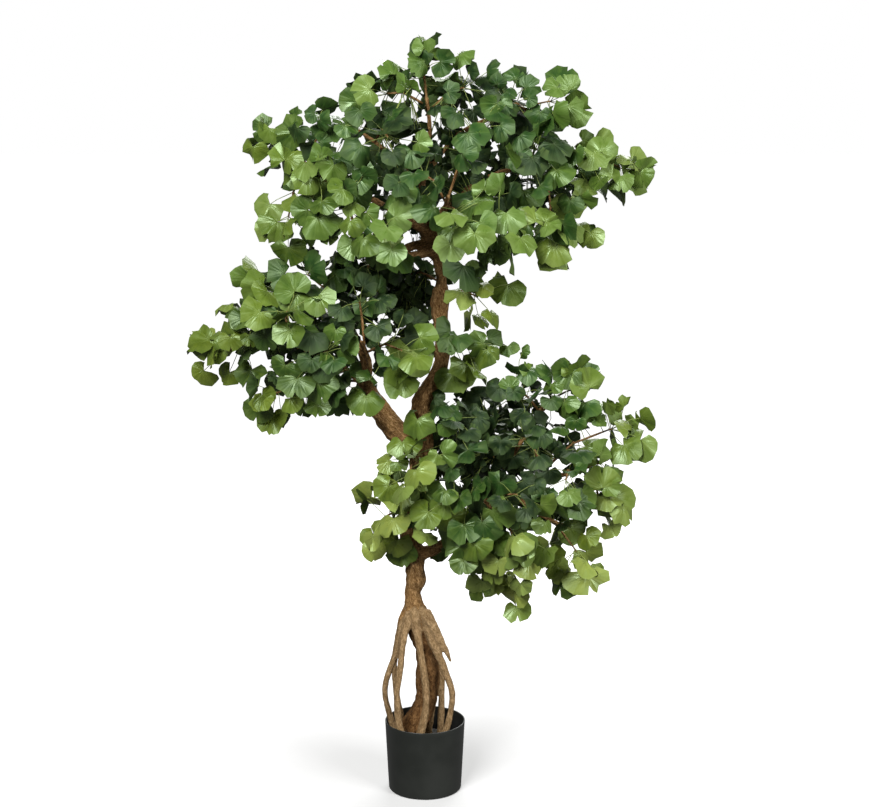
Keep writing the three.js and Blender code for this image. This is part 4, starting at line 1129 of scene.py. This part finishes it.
# One of the front leaves: it stands on the tier's egg at that x and z.
def frontLeaf(draw, tier, x, z, run, radius, tone, turn=0, lean=0):
    (midX, _, midZ), (halfX, halfY, halfZ) = tier["centre"], tier["half"]
    x, z = x * mm, z * mm
    deep = math.sqrt(max(frontForm["least"], 1 - ((x - midX) / halfX) ** 2 - ((z - midZ) / halfZ) ** 2))
    base = np.array([x, -frontForm["forward"] * halfY * deep, z])
    large, soon, least = frontForm["large"]
    loose = min(1, max(least, (large - radius) / soon))
    turn += frontForm["turn"] * loose * draw.uniform(-1, 1)
    lean += frontForm["lean"] * loose * draw.uniform(-1, 1)
    run, turn, lean = np.radians([run, turn, lean])
    flat = np.array([math.cos(run), 0, 0]) + math.sin(run) * upwards
    along = flat * math.cos(lean) + towardsFront * math.sin(lean)
    facing = towardsFront * math.cos(lean) - flat * math.sin(lean)
    facing = facing * math.cos(turn) + np.cross(along, facing) * math.sin(turn)
    spread = math.radians(draw.uniform(*frontForm["spread"]))
    one, node = bladeFrom(base, along, facing, radius * mm, spread, draw)
    return {**one, "tone": max(0, tone / 100 + tier["light"] - frontForm["shade"] * shadeAt(base))}, node


steps, bare = moreLeaves["stalkPlaces"]
twigPaths = {node: smoothPath(spray["rings"], steps)[bare:] for node, spray in sprays.items()}
twigPoints = np.vstack(list(twigPaths.values()))
twigNames = [node for node, path in twigPaths.items() for _ in path]
draw = np.random.default_rng(seeds["front"])
for tierName, rows in frontLeaves.items():
    for row in rows:
        one, node = frontLeaf(draw, tiers[tierName], *row)
        sprays[node]["leaves"].append(one)
        middles.append(middleOf(one))
print("front leaves placed:", len(middles))


# Whether a point lies in one of the given circles of the middle plane, as seen from the camera.
def hidesOne(circles, point, margin=0.0):
    near = camera["place"][1] / (camera["place"][1] - point[1])
    seenX, _, seenZ = camera["place"] + (point - camera["place"]) * near
    return any(math.hypot(seenX - x * mm, seenZ - z * mm) < wide * mm + margin for x, z, wide in circles)


# Fills an egg: each leaf is the one of several draws that has the most room to the leaves that are there,
# and stays off the wood, the bare bark and the frame's box.
def fillMass(mass, draw):
    low, high = np.array(cadBox[0]) + moreLeaves["edge"], np.array(cadBox[1]) - moreLeaves["edge"]
    for _ in range(masses[mass][2]):
        best, most = None, moreLeaves["least"]
        for _ in range(moreLeaves["draws"]):
            one, node = drawnLeaf(mass, draw)
            middle, tip = middleOf(one), one["base"] + one["along"] * moreLeaves["tip"]
            inBox = np.all(tip > low) and np.all(tip < high)
            bare = (np.linalg.norm(woodPath[:, :3] - middle, axis=1) - woodPath[:, 3]).min()
            hides = hidesOne(gaps, middle, moreLeaves["offGap"])
            hides = hides or middle[1] < 0 and hidesOne(barePlaces, middle)
            if not inBox or bare < moreLeaves["offBark"] or hides:
                continue
            room = np.linalg.norm((np.array(middles) - middle) * moreLeaves["roomAcross"], axis=1).min()
            if room > most:
                best, most = (one, node), room
        if best is not None:
            one, node = best
            middles.append(middleOf(one))
            sprays[node]["leaves"].append(one)


lookForm = {
    "leaf_light": 0.52, "leaf_dark": 0.22,  # how light a leaf is by its node's slot
    "outer": (0.5, 0.85),  # how much lighter it gets outwards, and from where on: painted shade further in, partly lighter young leaves
    "low": 0.12, "front": 0.08, "chance": 0.3,  # how much lighter lower down, in front (painted shade behind) and by chance
    "yellowSides": 0.34, "yellowLeft": 0.1, "yellowLow": 0.3, "yellowChance": 0.35,
}


# How light a leaf is, and how far from green to olive, both 0 to 1, from its place in its tier's egg: tone =
# slot + outer + low + front + chance - shade, and yellow = tier + sides + left + low + chance - shade. The
# outer term is partly painted shade inside the tier; the front term and the shade are painted shade behind
# and in the dark places.
def lookOf(one, spray, draw):
    tier, form = spray["tier"], lookForm
    across, back, up = place = (middleOf(one) - tier["centre"]) / tier["half"]
    shade = shadeAt(one["base"])
    growth, start = form["outer"]
    tone = tier["light"] + form[spray["slot"]] + growth * (np.linalg.norm(place) - start)
    tone = tone - form["low"] * up - form["front"] * back + draw.uniform(-form["chance"], form["chance"])
    yellow = tier["yellow"] + form["yellowSides"] * abs(across) - form["yellowLeft"] * across
    yellow = yellow - form["yellowLow"] * up + draw.uniform(-form["yellowChance"], form["yellowChance"])
    return [float(np.clip(value - shade, 0, 1)) for value in (tone, yellow)]


for spray in sprays.values():
    for one in spray["leaves"]:
        hidden = hidesOne(gaps, middleOf(one)) or shadeAt(one["base"]) > moreLeaves["shaded"]
        if "tone" not in one and hidden:
            one["reach"] = one["reach"] * moreLeaves["smaller"]
for k, mass in enumerate(masses):
    fillMass(mass, np.random.default_rng(seeds["masses"] + k))
draw = np.random.default_rng(seeds["looks"])
for spray in sprays.values():
    for one in spray["leaves"]:
        tone, one["yellow"] = lookOf(one, spray, draw)
        one.setdefault("tone", tone)
print("leaves in all:", len(middles))

leafLook = {
    # colours from the darkest leaf to the lightest, for green ones and for olive ones
    "green": [(0.0, (0.002, 0.011, 0.002)), (0.3, (0.014, 0.045, 0.007)), (0.6, (0.06, 0.11, 0.016)),
              (1.0, (0.13, 0.192, 0.052))],
    "olive": [(0.0, (0.005, 0.012, 0.001)), (0.3, (0.026, 0.05, 0.005)), (0.6, (0.094, 0.13, 0.011)),
              (1.0, (0.19, 0.23, 0.044))],
    "pale": (0.18, 0.24, 0.07),  # the ribs and the foot
    "under": (0.1, 0.15, 0.035),
    "stalk": (0.2, 0.25, 0.06),
    "relief": (0.6, 0.003),
}


# A leaf's colour goes from a deep bluish green to a light yellow green with its tone, which holds painted
# shade. Its ribs and pleats are noise over the angle about its foot and the distance from it; the pleats also
# lighten the colour on their crests and darken it in their folds, painted highlight and painted shade. The
# underside is paler.
def leafMaterial(name):
    shader = Shader(name, Specular_IOR_Level=0.46, Specular_Tint=(0.78, 1.0, 0.62, 1))
    x, y, chance = shader.parts(shader.attribute("leafPlace", "Vector"))
    tone, underside, stalk = (shader.attribute(key) for key in ("tone", "underside", "stalk"))
    angle = x.maths("ARCTAN2", y)
    distance = (x * x + y * y).maths("SQRT")

    def fanned(around, out):
        return shader.node("CombineXYZ", {}, {0: angle * around, 1: distance * out, 2: chance * 37})

    ribs = shader.noise(fanned(15, 0.9), 1.0, 2.0, 0.6)
    pleats = shader.noise(fanned(3.6, 0.5), 1.0, 1.0, 0.4)
    blotch = shader.noise(fanned(1.5, 2.2), 1.0, 3.0)
    # the pleats add painted highlight on their crests and painted shade in their folds
    lightness = tone + (blotch - 0.5) * 0.4 + (pleats - 0.5) * 0.25
    green, olive = (shader.ramp(lightness, leafLook[key]) for key in ("green", "olive"))
    ramp = shader.mixed(shader.attribute("yellow"), green, olive)
    pale = shader.mixed(lightness.clamped(0.05, 0.5, 0.14, 0.5), ramp, leafLook["pale"])
    colour = shader.mixed(ribs.clamped(0.45, 0.8, 0.0, 0.24), ramp, pale)
    colour = shader.mixed(distance.clamped(0.0, 0.42, 0.42, 0.0), colour, pale)
    colour = shader.mixed(underside * 0.35, colour, leafLook["under"])
    colour = shader.mixed(stalk * 0.8, colour, leafLook["stalk"])
    normal = shader.bump(pleats + ribs * 0.08, *leafLook["relief"])
    rough = blotch.clamped(0.3, 0.7, 0.25, 0.4) + underside * 0.14 + lightness.clamped(0.1, 0.4, 0.22, 0.0)
    return shader.feed(Base_Color=colour, Roughness=rough, Normal=normal)


leafMaterials = {"leaf_light": leafMaterial("leafLight"), "leaf_dark": leafMaterial("leafDark")}
for k, (node, spray) in enumerate(sprays.items()):
    mesh = sprayMesh(node.replace("spray", "leaves"), stacked(spray["leaves"]), seeds["sprays"] + k)
    addPiece(mesh, leafMaterials[spray["slot"]], [node])
print("leaves made")

twigForm = {
    "root": 0.0027, "tip": 0.0013, "sides": 6, "steps": 4,
    "sunk": 0.006,  # into the bark
    "spurs": (0.0005, 5, 0.3),  # how far they swell the twig, how many there are, and from where on
    "grain": 0.12,  # how far the bark's grain runs along it
}


# A tier's twigs: tubes on smooth curves through their rings, sunk into the bark and swollen at each spur.
def twigMesh(name, members):
    sides = twigForm["sides"]
    spur, spurs, bareShare = twigForm["spurs"]
    tubes, runs = [], []
    for number, spray in enumerate(members):
        rings = spray["rings"]
        foot = rings[0] - unit(rings[1] - rings[0]) * twigForm["sunk"]
        path = smoothPath(np.vstack([foot, rings]), twigForm["steps"])
        share = np.linspace(0, 1, len(path))
        radius = twigForm["root"] + (twigForm["tip"] - twigForm["root"]) * share
        radius += spur * np.sin(share * math.pi * spurs) ** 2 * (share > bareShare)
        tubes.append((path, radius, sides))
        runs.append(np.concatenate([np.repeat(share, sides), [0, 1]]) * twigForm["grain"] + number)
    pieces, faces = closedTubes(tubes)
    points, run = np.vstack(pieces), np.concatenate(runs)
    centre = np.vstack([np.vstack([np.repeat(path, sides, 0), path[[0, -1]]]) for path, _, _ in tubes])
    mesh = makeMesh(name, points, faces)
    keepAttribute(mesh, "grain", np.hstack([(points - centre)[:, :2], run[:, None]]))
    keepAttribute(mesh, "rootness", np.zeros(len(points)))
    return mesh


for tierName in ("crown", "left", "right"):
    members = {node: spray for node, spray in sprays.items() if node.startswith("spray_" + tierName)}
    addPiece(twigMesh("twigs_" + tierName, list(members.values())), bark, list(members))
print("twigs made")

corners = np.array([(-1, -1, 0), (1, -1, 0), (1, 1, 0), (-1, 1, 0)]) * studio["floorSize"] / 2
floorMesh = makeMesh("floor", corners, [[0, 1, 2, 3]], smooth=False)
floorShader = Shader("floorPaint", Roughness=0.9, Base_Color=studio["floorColour"],
                     Emission_Strength=studio["floorGlow"])
away = floorShader.node("VectorMath", {"operation": "LENGTH"}, {0: floorShader.objectPlace()}, output=1)
glow = floorShader.mixed(away.clamped(*studio["glowRange"]), studio["nearGlow"], (1, 1, 1))
floorMesh.materials.append(floorShader.feed(Emission_Color=glow))
floor = placed("floor", floorMesh)
floor.visible_diffuse = False
floor.visible_glossy = False

bpy.context.view_layer.update()
